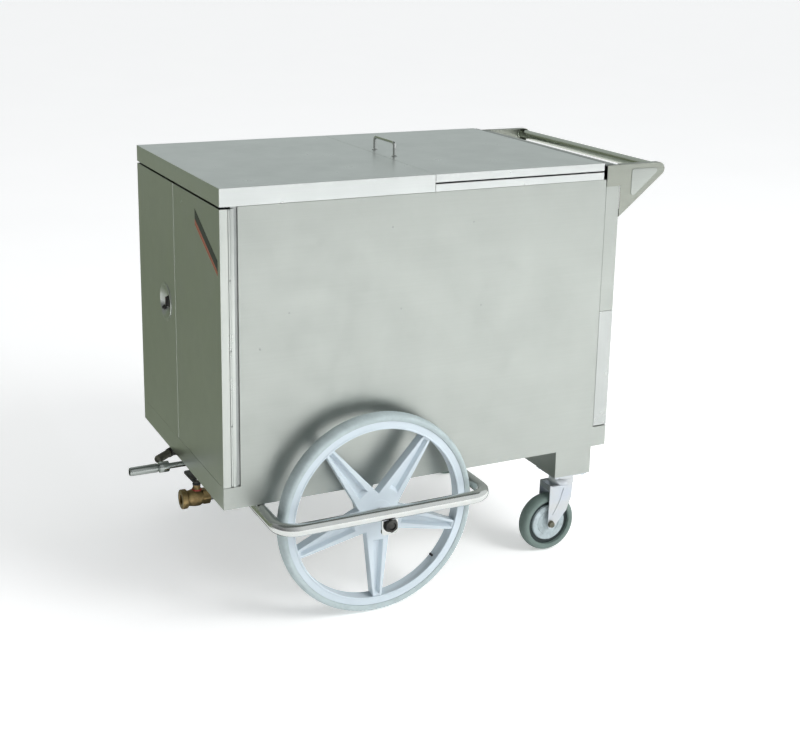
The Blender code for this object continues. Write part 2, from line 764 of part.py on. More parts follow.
def bracket_outline(inset=0.0):
    """Right-angled gusset: level top, rounded outer corner round the bar, and a sloping edge."""
    radius = BRACKET_CORNER - inset
    low = Vector((BODY_LENGTH + GAP + inset, BRACKET_LOW))
    slope = math.atan2(BAR_Z - BRACKET_LOW - 0.010, BAR_X - BODY_LENGTH)
    corner = []
    steps = 8
    for k in range(steps + 1):
        angle = math.pi / 2 - (math.pi - slope) * k / steps
        corner.append((BAR_X + radius * math.cos(angle), BAR_Z + radius * math.sin(angle)))
    return low, corner


def make_push_handle(finish):
    """Two gussets with folded edges, and the round bar between them."""
    y_face = -SHEET - GAP
    for side in ("front", "back"):
        low, corner = bracket_outline()
        top = corner[0][1]
        plate = [
            (LID_END_X + 0.007, top),
            *corner,
            (low.x, low.y),
            (low.x, BRACKET_SHOULDER),
            (LID_END_X + 0.007, BRACKET_SHOULDER),
        ]
        inner_corner = bracket_outline(SHEET)[1]
        fold = [
            (low.x, top),
            *corner,
            (low.x, low.y),
            (low.x, low.y + 0.006),
            *reversed(inner_corner),
            (low.x, inner_corner[0][1]),
        ]
        sheet = prism(plate, "Y", y_face, -GAP)
        edge = prism(fold, "Y", y_face + SHEET / 2, BRACKET_FOLD)
        if side == "back":
            sheet = mirrored(sheet)
            edge = mirrored(edge)
        bracket = add(f"handle_bracket_{side}", sheet, finish["steel_panel"])
        fuse(bracket, edge)
    bar = ring(
        BAR_RADIUS - 0.0015,
        BAR_RADIUS,
        GAP,
        BODY_WIDTH - GAP,
        (BAR_X, 0, BAR_Z),
        "Y",
        24,
    )
    add("push_bar", bar, finish["steel_bright"])


# ---- running gear ----
def make_rails(finish):
    """U-shaped guard rails round the large wheels, each with the tab that holds the axle's end."""
    x0 = WHEEL_X - RAIL_HALF_LENGTH
    x1 = WHEEL_X + RAIL_HALF_LENGTH
    for side in ("front", "back"):
        corners = [
            (x0, 0.060, RAIL_Z),
            (x0, RAIL_Y, RAIL_Z),
            (x1, RAIL_Y, RAIL_Z),
            (x1, 0.060, RAIL_Z),
        ]
        rod = tube(rounded_path(corners, 0.038, 6), RAIL_RADIUS, 14)
        low = WHEEL_RADIUS - 0.020
        tab = block((WHEEL_X - 0.017, RAIL_Y - 0.003, low), (WHEEL_X + 0.017, RAIL_Y + 0.003, RAIL_Z - 0.004))
        hole = disc(AXLE_RADIUS + GAP, RAIL_Y - 0.02, RAIL_Y + 0.02, (WHEEL_X, 0, WHEEL_RADIUS), "Y", 24)
        if side == "back":
            rod = mirrored(rod)
            tab = mirrored(tab)
            hole = mirrored(hole)
        rail = add(f"guard_rail_{side}", rod, finish["steel_bright"])
        fuse(rail, tab)
        cut(rail, hole)


def wheel_point(angle, radius, offset=0.0):
    """A point of the front wheel's face, at a radius along an angle and a distance to its left."""
    x = WHEEL_X + radius * math.cos(angle) - offset * math.sin(angle)
    z = WHEEL_RADIUS + radius * math.sin(angle) + offset * math.cos(angle)
    return (x, z)


def spoke_angles():
    return [math.radians(-90 + 360 / SPOKES * k) for k in range(SPOKES)]


def star_outline(half_in, half_out, reach):
    """Tapered arms that grow from a five-sided hub plate."""
    outline = []
    corner = half_in / math.sin(math.pi / SPOKES)
    for angle in spoke_angles():
        outline.append(wheel_point(angle - math.pi / SPOKES, corner))
        outline.append(wheel_point(angle, reach, -half_out))
        outline.append(wheel_point(angle, reach, half_out))
    return outline


def spoke_groove(angle, y0, y1):
    """The channel in one spoke's outer face, narrowing towards the rim."""
    outline = [
        wheel_point(angle, GROOVE_START, -GROOVE_HALF_IN),
        wheel_point(angle, GROOVE_END, -GROOVE_HALF_OUT),
        wheel_point(angle, GROOVE_END, GROOVE_HALF_OUT),
        wheel_point(angle, GROOVE_START, GROOVE_HALF_IN),
    ]
    return prism(outline, "Y", y0, y1)


def tyre_profile(crown_radius, shoulder, half, inner):
    """A tyre's section: a rounded crown whose flats touch the floor, and straight sides."""
    steps = 6
    lift = 1 / math.cos(math.pi / TYRE_SEGMENTS)
    profile = []
    for k in range(steps + 1):
        bulge = math.pi * (k / steps - 0.5)
        radius = crown_radius - shoulder + shoulder * math.cos(bulge)
        profile.append((radius * lift, half * math.sin(bulge)))
    return [*profile, (inner, half), (inner, -half)]


def make_wheels(finish):
    """Five-spoke cast wheels with solid tyres, on bushes on one fixed through axle."""
    half = WHEEL_WIDTH / 2
    y = WHEEL_Y
    centre = (WHEEL_X, y, WHEEL_RADIUS)
    for side in ("front", "back"):
        star = prism(star_outline(0.025, 0.009, RIM_INNER + 0.006), "Y", y - 0.011, y + 0.011)
        rim_profile = [
            (RIM_INNER, -0.013),
            (RIM_OUTER, -0.013),
            (RIM_OUTER, 0.013),
            (RIM_INNER, 0.013),
            (RIM_INNER - 0.004, 0),
        ]
        rim = turned(rim_profile, centre, "Y", 48, closed=True)
        hub = disc(0.030, -0.016, 0.016, centre, "Y", 32)
        bore = disc(BUSH_OUTER + GAP, -0.05, 0.05, centre, "Y", 24)
        grooves = combined(*[spoke_groove(a, y - 0.030, y - 0.004) for a in spoke_angles()])
        section = tyre_profile(WHEEL_RADIUS, 0.007, half, RIM_OUTER + GAP)
        tyre = turned(section, centre, "Y", TYRE_SEGMENTS, closed=True)
        bush = ring(AXLE_RADIUS + BUSH_CLEARANCE, BUSH_OUTER, -0.018, 0.018, centre, "Y", 24)
        nut = hexagon_nut(RAIL_Y - 0.0125, RAIL_Y - 0.0035)
        shells = [star, rim, hub, bore, grooves, tyre, bush, nut]
        if side == "back":
            shells = [mirrored(shell) for shell in shells]
        star, rim, hub, bore, grooves, tyre, bush, nut = shells
        spot = (WHEEL_X, y if side == "front" else BODY_WIDTH - y, WHEEL_RADIUS)
        wheel = add(f"wheel_{side}", star, finish["wheel_paint"], at=spot)
        fuse(wheel, rim)
        fuse(wheel, hub)
        cut(wheel, bore)
        cut(wheel, grooves)
        add(f"tyre_{side}", tyre, finish["tyre_grey"], at=spot, parent=wheel)
        add(f"wheel_bush_{side}", bush, finish["brass"], at=spot, parent=wheel)
        add(f"axle_nut_{side}", nut, finish["dark_iron"])
    end = -RAIL_Y + 0.0100
    axle = disc(AXLE_RADIUS, -end, BODY_WIDTH + end, (WHEEL_X, 0, WHEEL_RADIUS), "Y", 24)
    add("axle", axle, finish["zinc"])


def hexagon_nut(y0, y1):
    outline = []
    for k in range(6):
        angle = math.radians(60 * k)
        outline.append((WHEEL_X + NUT_RADIUS * math.cos(angle), WHEEL_RADIUS + NUT_RADIUS * math.sin(angle)))
    bm = prism(outline, "Y", y0, y1)
    for face in list(bm.faces):
        if len(face.verts) == 6:
            bm.faces.remove(face)
    bore = AXLE_RADIUS + GAP
    loops = {}
    for y in (y0, y1):
        outer = [v for v in bm.verts if abs(v.co.y - y) < 1e-6]
        outer.sort(key=lambda v: math.atan2(v.co.z - WHEEL_RADIUS, v.co.x - WHEEL_X) % (2 * math.pi))
        inner = []
        for k in range(24):
            angle = math.radians(15 * k)
            spot = (WHEEL_X + bore * math.cos(angle), y, WHEEL_RADIUS + bore * math.sin(angle))
            inner.append(bm.verts.new(spot))
        for k in range(6):
            fan = [inner[(4 * k + j) % 24] for j in range(5)]
            bm.faces.new([outer[k], *fan, outer[(k + 1) % 6]])
        loops[y] = inner
    for k in range(24):
        m = (k + 1) % 24
        bm.faces.new((loops[y0][k], loops[y0][m], loops[y1][m], loops[y1][k]))
    return face_out(bm)


def make_caster(finish, side):
    """One swivel caster: top plate with its race, fork, wheel core, tyre and axle bolt."""
    y = CASTER_EDGE if side == "front" else BODY_WIDTH - CASTER_EDGE
    plate_top = BEAM_BOTTOM - GAP
    plate = block((CASTER_X - 0.042, y - 0.040, plate_top - 0.003), (CASTER_X + 0.042, y + 0.040, plate_top))
    plate_obj = add(f"caster_plate_{side}", plate, finish["zinc"])
    fuse(plate_obj, disc(0.026, 0.166, plate_top - 0.0015, (CASTER_X, y, 0), "Z", 28))
    fuse(plate_obj, disc(0.006, 0.147, 0.170, (CASTER_X, y, 0), "Z", 20))

    pivot = (CASTER_X, y, 0.160)
    crown = ring(0.0063, 0.027, 0.1500, 0.1655, (CASTER_X, y, 0), "Z", 28)
    fork = add(f"caster_fork_{side}", crown, finish["zinc"], at=pivot)
    wheel_x = CASTER_X - CASTER_TRAIL
    leg = [
        (wheel_x - 0.0060, FORK_BRIDGE_TOP),
        (wheel_x - 0.0080, 0.061),
        (wheel_x - 0.0040, 0.0535),
        (wheel_x + 0.0060, 0.0535),
        (wheel_x + 0.0380, 0.090),
        (wheel_x + 0.0490, 0.120),
        (wheel_x + 0.0510, FORK_BRIDGE_TOP),
    ]
    legs = [prism(leg, "Y", y + s * FORK_LEG_IN, y + s * FORK_LEG_OUT) for s in (-1, 1)]
    bridge = block(
        (wheel_x - 0.0060, y - FORK_LEG_OUT, FORK_BRIDGE_LOW),
        (wheel_x + 0.0510, y + FORK_LEG_OUT, FORK_BRIDGE_TOP),
    )
    fuse(fork, legs[0])
    fuse(fork, legs[1])
    fuse(fork, bridge)
    cut(fork, disc(0.0063, 0.140, 0.172, (CASTER_X, y, 0), "Z", 28))
    hole = disc(CASTER_BOLT_RADIUS + GAP, y - 0.04, y + 0.04, (wheel_x, 0, CASTER_RADIUS), "Y", 20)
    cut(fork, hole)

    centre = (wheel_x, y, CASTER_RADIUS)
    core_profile = [
        (CASTER_BOLT_RADIUS + BUSH_CLEARANCE, -0.0165),
        (0.012, -0.0165),
        (0.014, -0.010),
        (0.046, -0.012),
        (0.046, 0.012),
        (0.014, 0.010),
        (0.012, 0.0165),
        (CASTER_BOLT_RADIUS + BUSH_CLEARANCE, 0.0165),
    ]
    core = turned(core_profile, centre, "Y", 32, closed=True)
    core_obj = add(f"caster_wheel_{side}", core, finish["caster_core"], at=centre, parent=fork)
    section = tyre_profile(CASTER_RADIUS, 0.006, 0.015, 0.0463)
    tyre = turned(section, centre, "Y", TYRE_SEGMENTS, closed=True)
    add(f"caster_tyre_{side}", tyre, finish["caster_tyre"], at=centre, parent=core_obj)
    bolt_profile = [
        (0, -0.0275),
        (0.0065, -0.0275),
        (0.0065, -0.0220),
        (CASTER_BOLT_RADIUS, -0.0220),
        (CASTER_BOLT_RADIUS, 0.0220),
        (0.0065, 0.0220),
        (0.0065, 0.0275),
        (0, 0.0275),
    ]
    bolt = turned(bolt_profile, centre, "Y", 20)
    add(f"caster_bolt_{side}", bolt, finish["dark_iron"], at=centre, parent=fork)


def make_caster_gear(finish):
    """A folded cross channel under the push end, with a caster at each end of it."""
    beam = tray(
        (BEAM_X0, 0.002, BEAM_BOTTOM),
        (BEAM_X1, BODY_WIDTH - 0.002, BODY_BOTTOM - GAP),
        0.002,
        "-Z",
    )
    add("caster_beam", beam, finish["steel_panel"])
    make_caster(finish, "front")
    make_caster(finish, "back")


def main():
    clear_scene()
    finish = make_finishes()
    make_base(finish)
    make_side_panels(finish)
    make_posts(finish)
    make_end_door(finish)
    make_control_panel(finish)
    make_controls(finish)
    make_top(finish)
    make_well(finish)
    make_drain(finish)
    make_gas(finish)
    make_divider(finish)
    make_push_end(finish)
    make_push_handle(finish)
    make_rails(finish)
    make_wheels(finish)
    make_caster_gear(finish)


main()
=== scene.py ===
"""Looks for the closed steel vending cart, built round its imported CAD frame. Metres, +Z up.

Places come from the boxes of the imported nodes. A point written as spot(x, y, z) is in the cart's own
coordinates: x from the left end, y from the front panel's outer face, z from the floor.
"""
import json
from math import acos, atan2, cos, pi, radians, sin, tan

import bmesh
import bpy
from mathutils import Matrix, Vector


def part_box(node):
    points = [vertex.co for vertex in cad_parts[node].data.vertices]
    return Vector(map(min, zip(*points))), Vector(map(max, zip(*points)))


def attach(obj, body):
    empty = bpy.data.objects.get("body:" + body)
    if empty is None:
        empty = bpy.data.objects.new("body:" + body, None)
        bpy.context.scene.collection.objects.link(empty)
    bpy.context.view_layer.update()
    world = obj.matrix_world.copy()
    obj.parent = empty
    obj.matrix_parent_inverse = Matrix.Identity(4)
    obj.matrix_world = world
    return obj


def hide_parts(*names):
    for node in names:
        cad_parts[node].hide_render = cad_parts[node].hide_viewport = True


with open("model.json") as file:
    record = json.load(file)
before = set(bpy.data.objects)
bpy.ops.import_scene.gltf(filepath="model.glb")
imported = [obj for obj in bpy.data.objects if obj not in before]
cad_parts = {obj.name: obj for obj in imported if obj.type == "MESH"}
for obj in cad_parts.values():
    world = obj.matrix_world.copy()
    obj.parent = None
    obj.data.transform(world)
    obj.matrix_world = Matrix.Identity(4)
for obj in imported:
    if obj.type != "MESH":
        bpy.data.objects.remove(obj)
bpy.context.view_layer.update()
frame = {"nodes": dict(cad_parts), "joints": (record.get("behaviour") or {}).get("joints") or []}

PANEL_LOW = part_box("front_panel")[0]
BACK_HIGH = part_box("back_panel")[1]
LEFT, FRONT = PANEL_LOW.x, PANEL_LOW.y  # the planes that spot() counts from
WIDTH = BACK_HIGH.y - FRONT
SIDES = ("front", "back")
X_AXIS, Y_AXIS, Z_AXIS = (1, 0, 0), (0, 1, 0), (0, 0, 1)


def spot(x, y, z):
    return Vector((LEFT + x, FRONT + y, z))


def middle(node):
    low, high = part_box(node)
    return (low + high) / 2


def middle_line(node):
    """A node's centre in y and z, for pieces turned about an axis along X."""
    low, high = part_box(node)
    return Vector((0, (low.y + high.y) / 2, (low.z + high.z) / 2))


def joint_place(name):
    joint = next(j for j in frame["joints"] if j["name"] == name)
    return Vector(joint["pos_m"])


def rectangle(a0, b0, a1, b1):
    return [(a0, b0), (a1, b0), (a1, b1), (a0, b1)]


def moved(profile, start):
    """A turned profile whose distances count from a place on the axis."""
    return [(radius, start + along) for radius, along in profile]


def flipped(profile):
    """The same stretch of a turned profile on the far face, run back."""
    return [(radius, -along) for radius, along in reversed(profile)]


# ---- node materials ----
def add_node(tree, kind, **values):
    """A shader node with inputs set. An underscore stands for a space in a name."""
    node = tree.nodes.new("ShaderNode" + kind)
    for socket, value in values.items():
        node.inputs[socket.replace("_", " ")].default_value = value
    return node


class Nodes:
    """A principled material and short calls for the nodes that feed it."""

    def __init__(self, name, rough, metal, **fixed):
        self.material = bpy.data.materials.new(name)
        self.material.use_nodes = True
        self.tree = self.material.node_tree
        self.shader = self.tree.nodes["Principled BSDF"]
        for socket, value in dict(fixed, Roughness=rough, Metallic=metal).items():
            self.shader.inputs[socket.replace("_", " ")].default_value = value
        self.coords = add_node(self.tree, "TexCoord").outputs["Object"]

    def link(self, source, target):
        self.tree.links.new(source, target)

    def noise(self, scale, detail=3.0, rough=0.5, stretch=(1, 1, 1), distortion=0.0):
        mapping = add_node(self.tree, "Mapping", Scale=stretch)
        self.link(self.coords, mapping.inputs["Vector"])
        node = add_node(self.tree, "TexNoise", Scale=scale, Detail=detail, Roughness=rough)
        node.inputs["Distortion"].default_value = distortion
        self.link(mapping.outputs["Vector"], node.inputs["Vector"])
        return node.outputs["Fac"]

    def ramp(self, source, stops):
        node = add_node(self.tree, "ValToRGB")
        ramp = node.color_ramp
        while len(ramp.elements) < len(stops):
            ramp.elements.new(0.5)
        for element, (position, colour) in zip(ramp.elements, stops):
            element.position = position
            element.color = (*colour, 1.0)
        self.link(source, node.inputs["Fac"])
        return node.outputs["Color"]

    def span(self, source, low, high, out_low, out_high):
        node = add_node(self.tree, "MapRange", From_Min=low, From_Max=high, To_Min=out_low, To_Max=out_high)
        self.link(source, node.inputs["Value"])
        return node.outputs["Result"]

    def mix(self, share, a, b, blend="MIX"):
        node = add_node(self.tree, "Mix")
        node.data_type = "RGBA"
        node.blend_type = blend
        for socket, value in ((0, share), (6, a), (7, b)):
            if isinstance(value, (int, float)):
                node.inputs[socket].default_value = value
            elif isinstance(value, tuple):
                node.inputs[socket].default_value = (*value, 1.0)
            else:
                self.link(value, node.inputs[socket])
        return node.outputs[2]

    def colour(self, source):
        self.link(source, self.shader.inputs["Base Color"])

    def rough(self, source, low, high, top=0.7):
        self.link(self.span(source, 0.3, top, low, high), self.shader.inputs["Roughness"])

    def bump(self, source, strength, distance):
        node = add_node(self.tree, "Bump", Strength=strength, Distance=distance)
        self.link(source, node.inputs["Height"])
        last = self.shader.inputs["Normal"]
        if last.is_linked:
            self.link(last.links[0].from_socket, node.inputs["Normal"])
        self.link(node.outputs["Normal"], last)


def shade(colour, factor):
    return tuple(min(1.0, c * factor) for c in colour)


def steel(name, colour, rough, along, mottle=0.025, grain=0.03):
    """Satin sheet: fine brush lines along one axis, soft clouding and a few rubbed patches."""
    m = Nodes(name, rough, 1.0)
    stretch = [700.0, 700.0, 700.0]
    stretch["XYZ".index(along)] = 6.0
    brush = m.noise(1.0, 2.0, 0.6, tuple(stretch))
    cloud = m.noise(5.5, 4.0, 0.6, distortion=0.4)
    patch = m.noise(16.0, 5.0, 0.65)
    dark, light = shade(colour, 1 - mottle), shade(colour, 1 + mottle)
    tint = m.ramp(cloud, [(0.25, dark), (0.55, colour), (0.8, light)])
    lines = m.ramp(brush, [(0.3, (1 - grain,) * 3), (0.7, (1, 1, 1))])
    m.colour(m.mix(1.0, tint, lines, "MULTIPLY"))
    m.rough(patch, rough - 0.05, rough + 0.07)
    m.bump(brush, 0.1, 0.0002)
    m.bump(cloud, 0.015, 0.004)
    return m.material


def bright(name, colour, rough):
    """Polished tube: nearly clear, with light smudges and fine scratches."""
    m = Nodes(name, rough, 1.0)
    smudge = m.noise(30.0, 4.0, 0.6)
    scratch = m.noise(160.0, 2.0, 0.5, (1, 1, 0.15))
    m.colour(m.ramp(smudge, [(0.3, shade(colour, 0.93)), (0.7, colour)]))
    m.rough(smudge, rough, rough + 0.12, 0.75)
    m.bump(scratch, 0.04, 0.0003)
    return m.material


def paint(name, colour, rough, speck=0.05, peel=0.12):
    """Sprayed or powder paint: slight orange peel, dust in the hollows."""
    m = Nodes(name, rough, 0.0, Coat_Weight=0.25, Coat_Roughness=0.25)
    cloud = m.noise(14.0, 4.0, 0.6)
    peel_noise = m.noise(420.0, 2.0, 0.5)
    dark, light = shade(colour, 1 - speck), shade(colour, 1 + speck)
    m.colour(m.ramp(cloud, [(0.3, dark), (0.6, colour), (0.85, light)]))
    m.rough(cloud, rough - 0.05, rough + 0.08)
    m.bump(peel_noise, peel, 0.0003)
    return m.material


def rubber(name, colour, rough):
    m = Nodes(name, rough, 0.0)
    dust = m.noise(45.0, 5.0, 0.65)
    grain = m.noise(900.0, 2.0, 0.6)
    m.colour(m.ramp(dust, [(0.3, shade(colour, 0.86)), (0.6, colour), (0.8, shade(colour, 1.12))]))
    m.rough(dust, rough - 0.06, rough + 0.08)
    m.bump(grain, 0.2, 0.0002)
    return m.material


def plated(name, colour, rough):
    """Zinc plate: a faint blue and straw cast in soft patches."""
    m = Nodes(name, rough, 1.0)
    flow = m.noise(22.0, 3.0, 0.5, distortion=0.8)
    fine = m.noise(260.0, 3.0, 0.6)
    cool = (colour[0] * 0.95, colour[1] * 0.98, colour[2] * 1.04)
    warm = (colour[0] * 1.03, colour[1] * 1.0, colour[2] * 0.95)
    m.colour(m.ramp(flow, [(0.3, cool), (0.55, colour), (0.8, warm)]))
    m.rough(fine, rough - 0.05, rough + 0.08)
    m.bump(fine, 0.05, 0.0003)
    return m.material


def cast(name, colour, dark, rough, metal):
    """Cast or scaled metal: darker in its pores."""
    m = Nodes(name, rough, metal)
    pores = m.noise(120.0, 5.0, 0.7)
    stain = m.noise(28.0, 4.0, 0.6)
    base = m.ramp(stain, [(0.25, dark), (0.6, colour), (0.85, shade(colour, 1.15))])
    m.colour(m.mix(m.span(pores, 0.35, 0.6, 0.35, 0.0), base, dark))
    m.rough(pores, rough + 0.1, rough - 0.06)
    m.bump(pores, 0.25, 0.0004)
    return m.material


def plastic(name, colour, rough):
    m = Nodes(name, rough, 0.0)
    grain = m.noise(700.0, 3.0, 0.6)
    wear = m.noise(60.0, 4.0, 0.6)
    m.colour(m.ramp(wear, [(0.3, shade(colour, 0.8)), (0.7, shade(colour, 1.25))]))
    m.rough(wear, rough - 0.06, rough + 0.08)
    m.bump(grain, 0.12, 0.0002)
    return m.material


SKINS = {
    "panel": steel("panel_steel", (0.46, 0.488, 0.458), 0.36, "X"),
    "gusset": steel("gusset_steel", (0.36, 0.38, 0.335), 0.34, "X"),
    "cover": steel("cover_steel", (0.68, 0.71, 0.695), 0.32, "X"),
    "end": steel("end_steel", (0.575, 0.605, 0.57), 0.34, "Z"),
    "strip": steel("strip_steel", (0.6, 0.63, 0.6), 0.3, "Z"),
    "flap": steel("flap_steel", (0.5, 0.525, 0.51), 0.3, "Z"),
    "inner": steel("inner_steel", (0.4, 0.42, 0.41), 0.42, "X", 0.05),
    "bright": bright("tube_steel", (0.7, 0.72, 0.7), 0.09),
    "bar": bright("bar_steel", (0.5, 0.53, 0.46), 0.16),
    "tail": bright("tail_steel", (0.42, 0.45, 0.43), 0.14),
    "zinc": plated("zinc_plate", (0.59, 0.62, 0.645), 0.36),
    "wheel": paint("wheel_enamel", (0.59, 0.67, 0.725), 0.42),
    "tyre": rubber("wheel_tyre", (0.45, 0.53, 0.54), 0.55),
    "caster_tyre": rubber("caster_rubber", (0.15, 0.205, 0.185), 0.5),
    "caster_core": plastic("caster_core", (0.4, 0.47, 0.49), 0.45),
    "caster_ring": plastic("caster_groove", (0.022, 0.034, 0.034), 0.6),
    "brass": cast("valve_brass", (0.37, 0.27, 0.13), (0.12, 0.08, 0.035), 0.38, 1.0),
    "iron": cast("dark_iron", (0.1, 0.1, 0.09), (0.03, 0.03, 0.03), 0.5, 0.8),
    "olive": cast("olive_elbow", (0.17, 0.17, 0.12), (0.05, 0.05, 0.04), 0.45, 0.3),
    "copper": cast("copper_pipe", (0.62, 0.34, 0.22), (0.25, 0.12, 0.07), 0.32, 1.0),
    "black": plastic("black_plastic", (0.018, 0.018, 0.018), 0.42),
    "stripe_dark": paint("stripe_dark", (0.018, 0.026, 0.022), 0.5),
    "stripe_red": paint("stripe_red", (0.36, 0.095, 0.055), 0.42),
    "red": plastic("red_mark", (0.35, 0.03, 0.02), 0.45),
}


# ---- mesh makers ----
def face_out(bm):
    bm.normal_update()
    bmesh.ops.recalc_face_normals(bm, faces=bm.faces)
    return bm


def aimed(axis):
    """The turn that takes local +Z to a direction."""
    return Vector((0, 0, 1)).rotation_difference(Vector(axis)).to_matrix()


def loft(point_loops, closed=False):
    """A solid through loops of points, where one point is a tip. Closed joins last to first."""
    bm = bmesh.new()
    loops = [[bm.verts.new(point) for point in loop] for loop in point_loops]
    count = max(len(loop) for loop in loops)
    for lower, upper in zip(loops, [*loops[1:], loops[0]] if closed else loops[1:]):
        for i in range(count):
            j = (i + 1) % count
            corners = [lower[i % len(lower)], lower[j % len(lower)]]
            corners += [upper[j % len(upper)], upper[i % len(upper)]]
            unique = list(dict.fromkeys(corners))
            if len(unique) > 2:
                bm.faces.new(unique)
    for end in () if closed else (loops[0], loops[-1]):
        if len(end) > 2:
            bm.faces.new(end)
    return face_out(bm)


def full_turn(count):
    return [2 * pi * i / count for i in range(count)]


def round_point(turn, centre, radius, angle, along):
    """A point at an angle round a turned piece's axis."""
    return turn @ Vector((radius * cos(angle), radius * sin(angle), along)) + Vector(centre)


def lathe(profile, centre, axis, segments=48, closed=False):
    """A turned solid from (radius, distance along the axis) points."""
    turn = aimed(axis)
    loops = []
    for radius, along in profile:
        angles = [0.0] if radius < 1e-9 else full_turn(segments)
        loops.append([round_point(turn, centre, radius, angle, along) for angle in angles])
    return loft(loops, closed)


def ring(profile, centre, axis, segments):
    """A turned ring, from a profile that closes on itself."""
    return lathe(profile, centre, axis, segments, closed=True)


def rod(radius, low, high, centre, axis, segments=40, chamfer=0.0006):
    """A round bar with chamfered ends."""
    c = min(chamfer, (high - low) / 3)
    profile = [(0, low), (radius - c, low), (radius, low + c)]
    profile += [(radius, high - c), (radius - c, high), (0, high)]
    return lathe(profile, centre, axis, segments)


def dome(radius, height, centre, axis, segments=24, steps=5):
    """A low round head that stands on a surface."""
    profile = [(0, 0), (radius, 0)]
    for k in range(steps + 1):
        a = pi / 2 * k / steps
        profile.append((radius * cos(a), height * (0.25 + 0.75 * sin(a))))
    profile[-1] = (0, height)
    return lathe(profile, centre, axis, segments)


def prism(outline, axis, low, high, bevel=0.0, steps=2):
    """An outline across an axis, made solid: (y, z) on X, (x, z) on Y, (x, y) on Z, in cart coordinates."""
    place = {
        "X": lambda a, b, c: spot(c, a, b),
        "Y": lambda a, b, c: spot(a, c, b),
        "Z": lambda a, b, c: spot(a, b, c),
    }[axis]
    bm = loft([[place(a, b, level) for a, b in outline] for level in (low, high)])
    return soften(bm, bevel, steps) if bevel else bm


def soften(bm, width, steps=2, angle=30.0):
    """Rounds every edge sharper than an angle."""
    bm.normal_update()
    edges = [e for e in bm.edges if len(e.link_faces) == 2 and e.calc_face_angle(0) > radians(angle)]
    bmesh.ops.bevel(bm, geom=edges, offset=width, segments=steps, profile=0.6, affect="EDGES",
                     clamp_overlap=True)
    return bm


def rounded_path(corners, bend, steps=10):
    corners = [Vector(c) for c in corners]
    path = [corners[0]]
    for before, corner, after in zip(corners, corners[1:], corners[2:]):
        way_in = (before - corner).normalized()
        way_out = (after - corner).normalized()
        half = way_in.angle(way_out) / 2
        reach = bend / tan(half)
        start, end = corner + way_in * reach, corner + way_out * reach
        centre = corner + (way_in + way_out).normalized() * (bend / sin(half))
        for k in range(steps + 1):
            out = (start - centre).normalized().slerp((end - centre).normalized(), k / steps)
            path.append(centre + out.normalized() * bend)
    path.append(corners[-1])
    return path


def tube(path, radius, segments=24, ends=0.0):
    """A rod along a path. A positive ends value rounds both ends within that length."""
    path = [Vector(p) for p in path]
    radii = [radius] * len(path)
    if ends:
        first, last = (path[1] - path[0]).normalized(), (path[-2] - path[-1]).normalized()
        head = [path[0] + first * ends * (1 - cos(a)) for a in (0.0, 0.5, 1.0, 1.5)]
        tail = [path[-1] + last * ends * (1 - cos(a)) for a in (1.5, 1.0, 0.5, 0.0)]
        share = [sin(a) for a in (0.35, 0.7, 1.1, 1.5)]
        radii = [radius * s for s in share] + radii[1:-1] + [radius * s for s in reversed(share)]
        path = head + path[1:-1] + tail
    ahead = (path[1] - path[0]).normalized()
    across = ahead.orthogonal().normalized()
    loops = []
    for i, point in enumerate(path):
        before = (point - path[i - 1]).normalized() if i else ahead
        after = (path[i + 1] - point).normalized() if i + 1 < len(path) else before
        tangent = (before + after).normalized()
        across = (across - tangent * across.dot(tangent)).normalized()
        up = tangent.cross(across)
        loops.append([point + (across * cos(a) + up * sin(a)) * radii[i] for a in full_turn(segments)])
    return loft(loops)


def joined(*parts):
    """Several shells in one mesh, which touch or pass through each other as welded parts do."""
    total = bmesh.new()
    for part in parts:
        shell = bpy.data.meshes.new("shell")
        part.to_mesh(shell)
        part.free()
        total.from_mesh(shell)
        bpy.data.meshes.remove(shell)
    return total


def as_object(name, bm):
    """Puts a finished mesh into the scene."""
    mesh = bpy.data.meshes.new(name)
    bm.to_mesh(mesh)
    bm.free()
    obj = bpy.data.objects.new(name, mesh)
    bpy.context.scene.collection.objects.link(obj)
    return obj


def boolean(bm, tool, operation):
    """The result of a Boolean between two meshes."""
    objects = [as_object("operand", part) for part in (bm, tool)]
    modifier = objects[0].modifiers.new("boolean", "BOOLEAN")
    modifier.operation = operation
    modifier.solver = "EXACT"
    modifier.use_self = True
    modifier.object = objects[1]
    result = bmesh.new()
    evaluated = objects[0].evaluated_get(bpy.context.evaluated_depsgraph_get())
    result.from_mesh(evaluated.to_mesh())
    evaluated.to_mesh_clear()
    for obj in objects:
        bpy.data.meshes.remove(obj.data)
    bmesh.ops.remove_doubles(result, verts=result.verts, dist=1e-6)
    bmesh.ops.dissolve_limit(result, angle_limit=radians(0.5), verts=result.verts, edges=result.edges)
    return face_out(result)


def sided(bm, side):
    """A front piece as it is, or mirrored in the cart's middle plane for the back."""
    if side == "back":
        for vert in bm.verts:
            vert.co.y = 2 * (FRONT + WIDTH / 2) - vert.co.y
        face_out(bm)
    return bm


def piece(name, bm, skin, body="frame", replaces=(), sharp=35.0):
    """Makes a mesh into a piece that rides on a body."""
    obj = as_object(name, bm)
    obj.data.shade_smooth()
    obj.data.set_sharp_from_angle(angle=radians(sharp))
    obj.data.materials.append(SKINS[skin])
    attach(obj, body)
    if replaces:
        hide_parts(*replaces)
    return obj


def cad_mesh(node):
    """A CAD node's shape as one clean mesh, with its triangles merged into flat faces."""
    bm = bmesh.new()
    bm.from_mesh(frame["nodes"][node].data)
    bmesh.ops.remove_doubles(bm, verts=bm.verts, dist=1e-5)
    bmesh.ops.dissolve_limit(bm, angle_limit=radians(1.0), verts=bm.verts, edges=bm.edges)
    return face_out(bm)


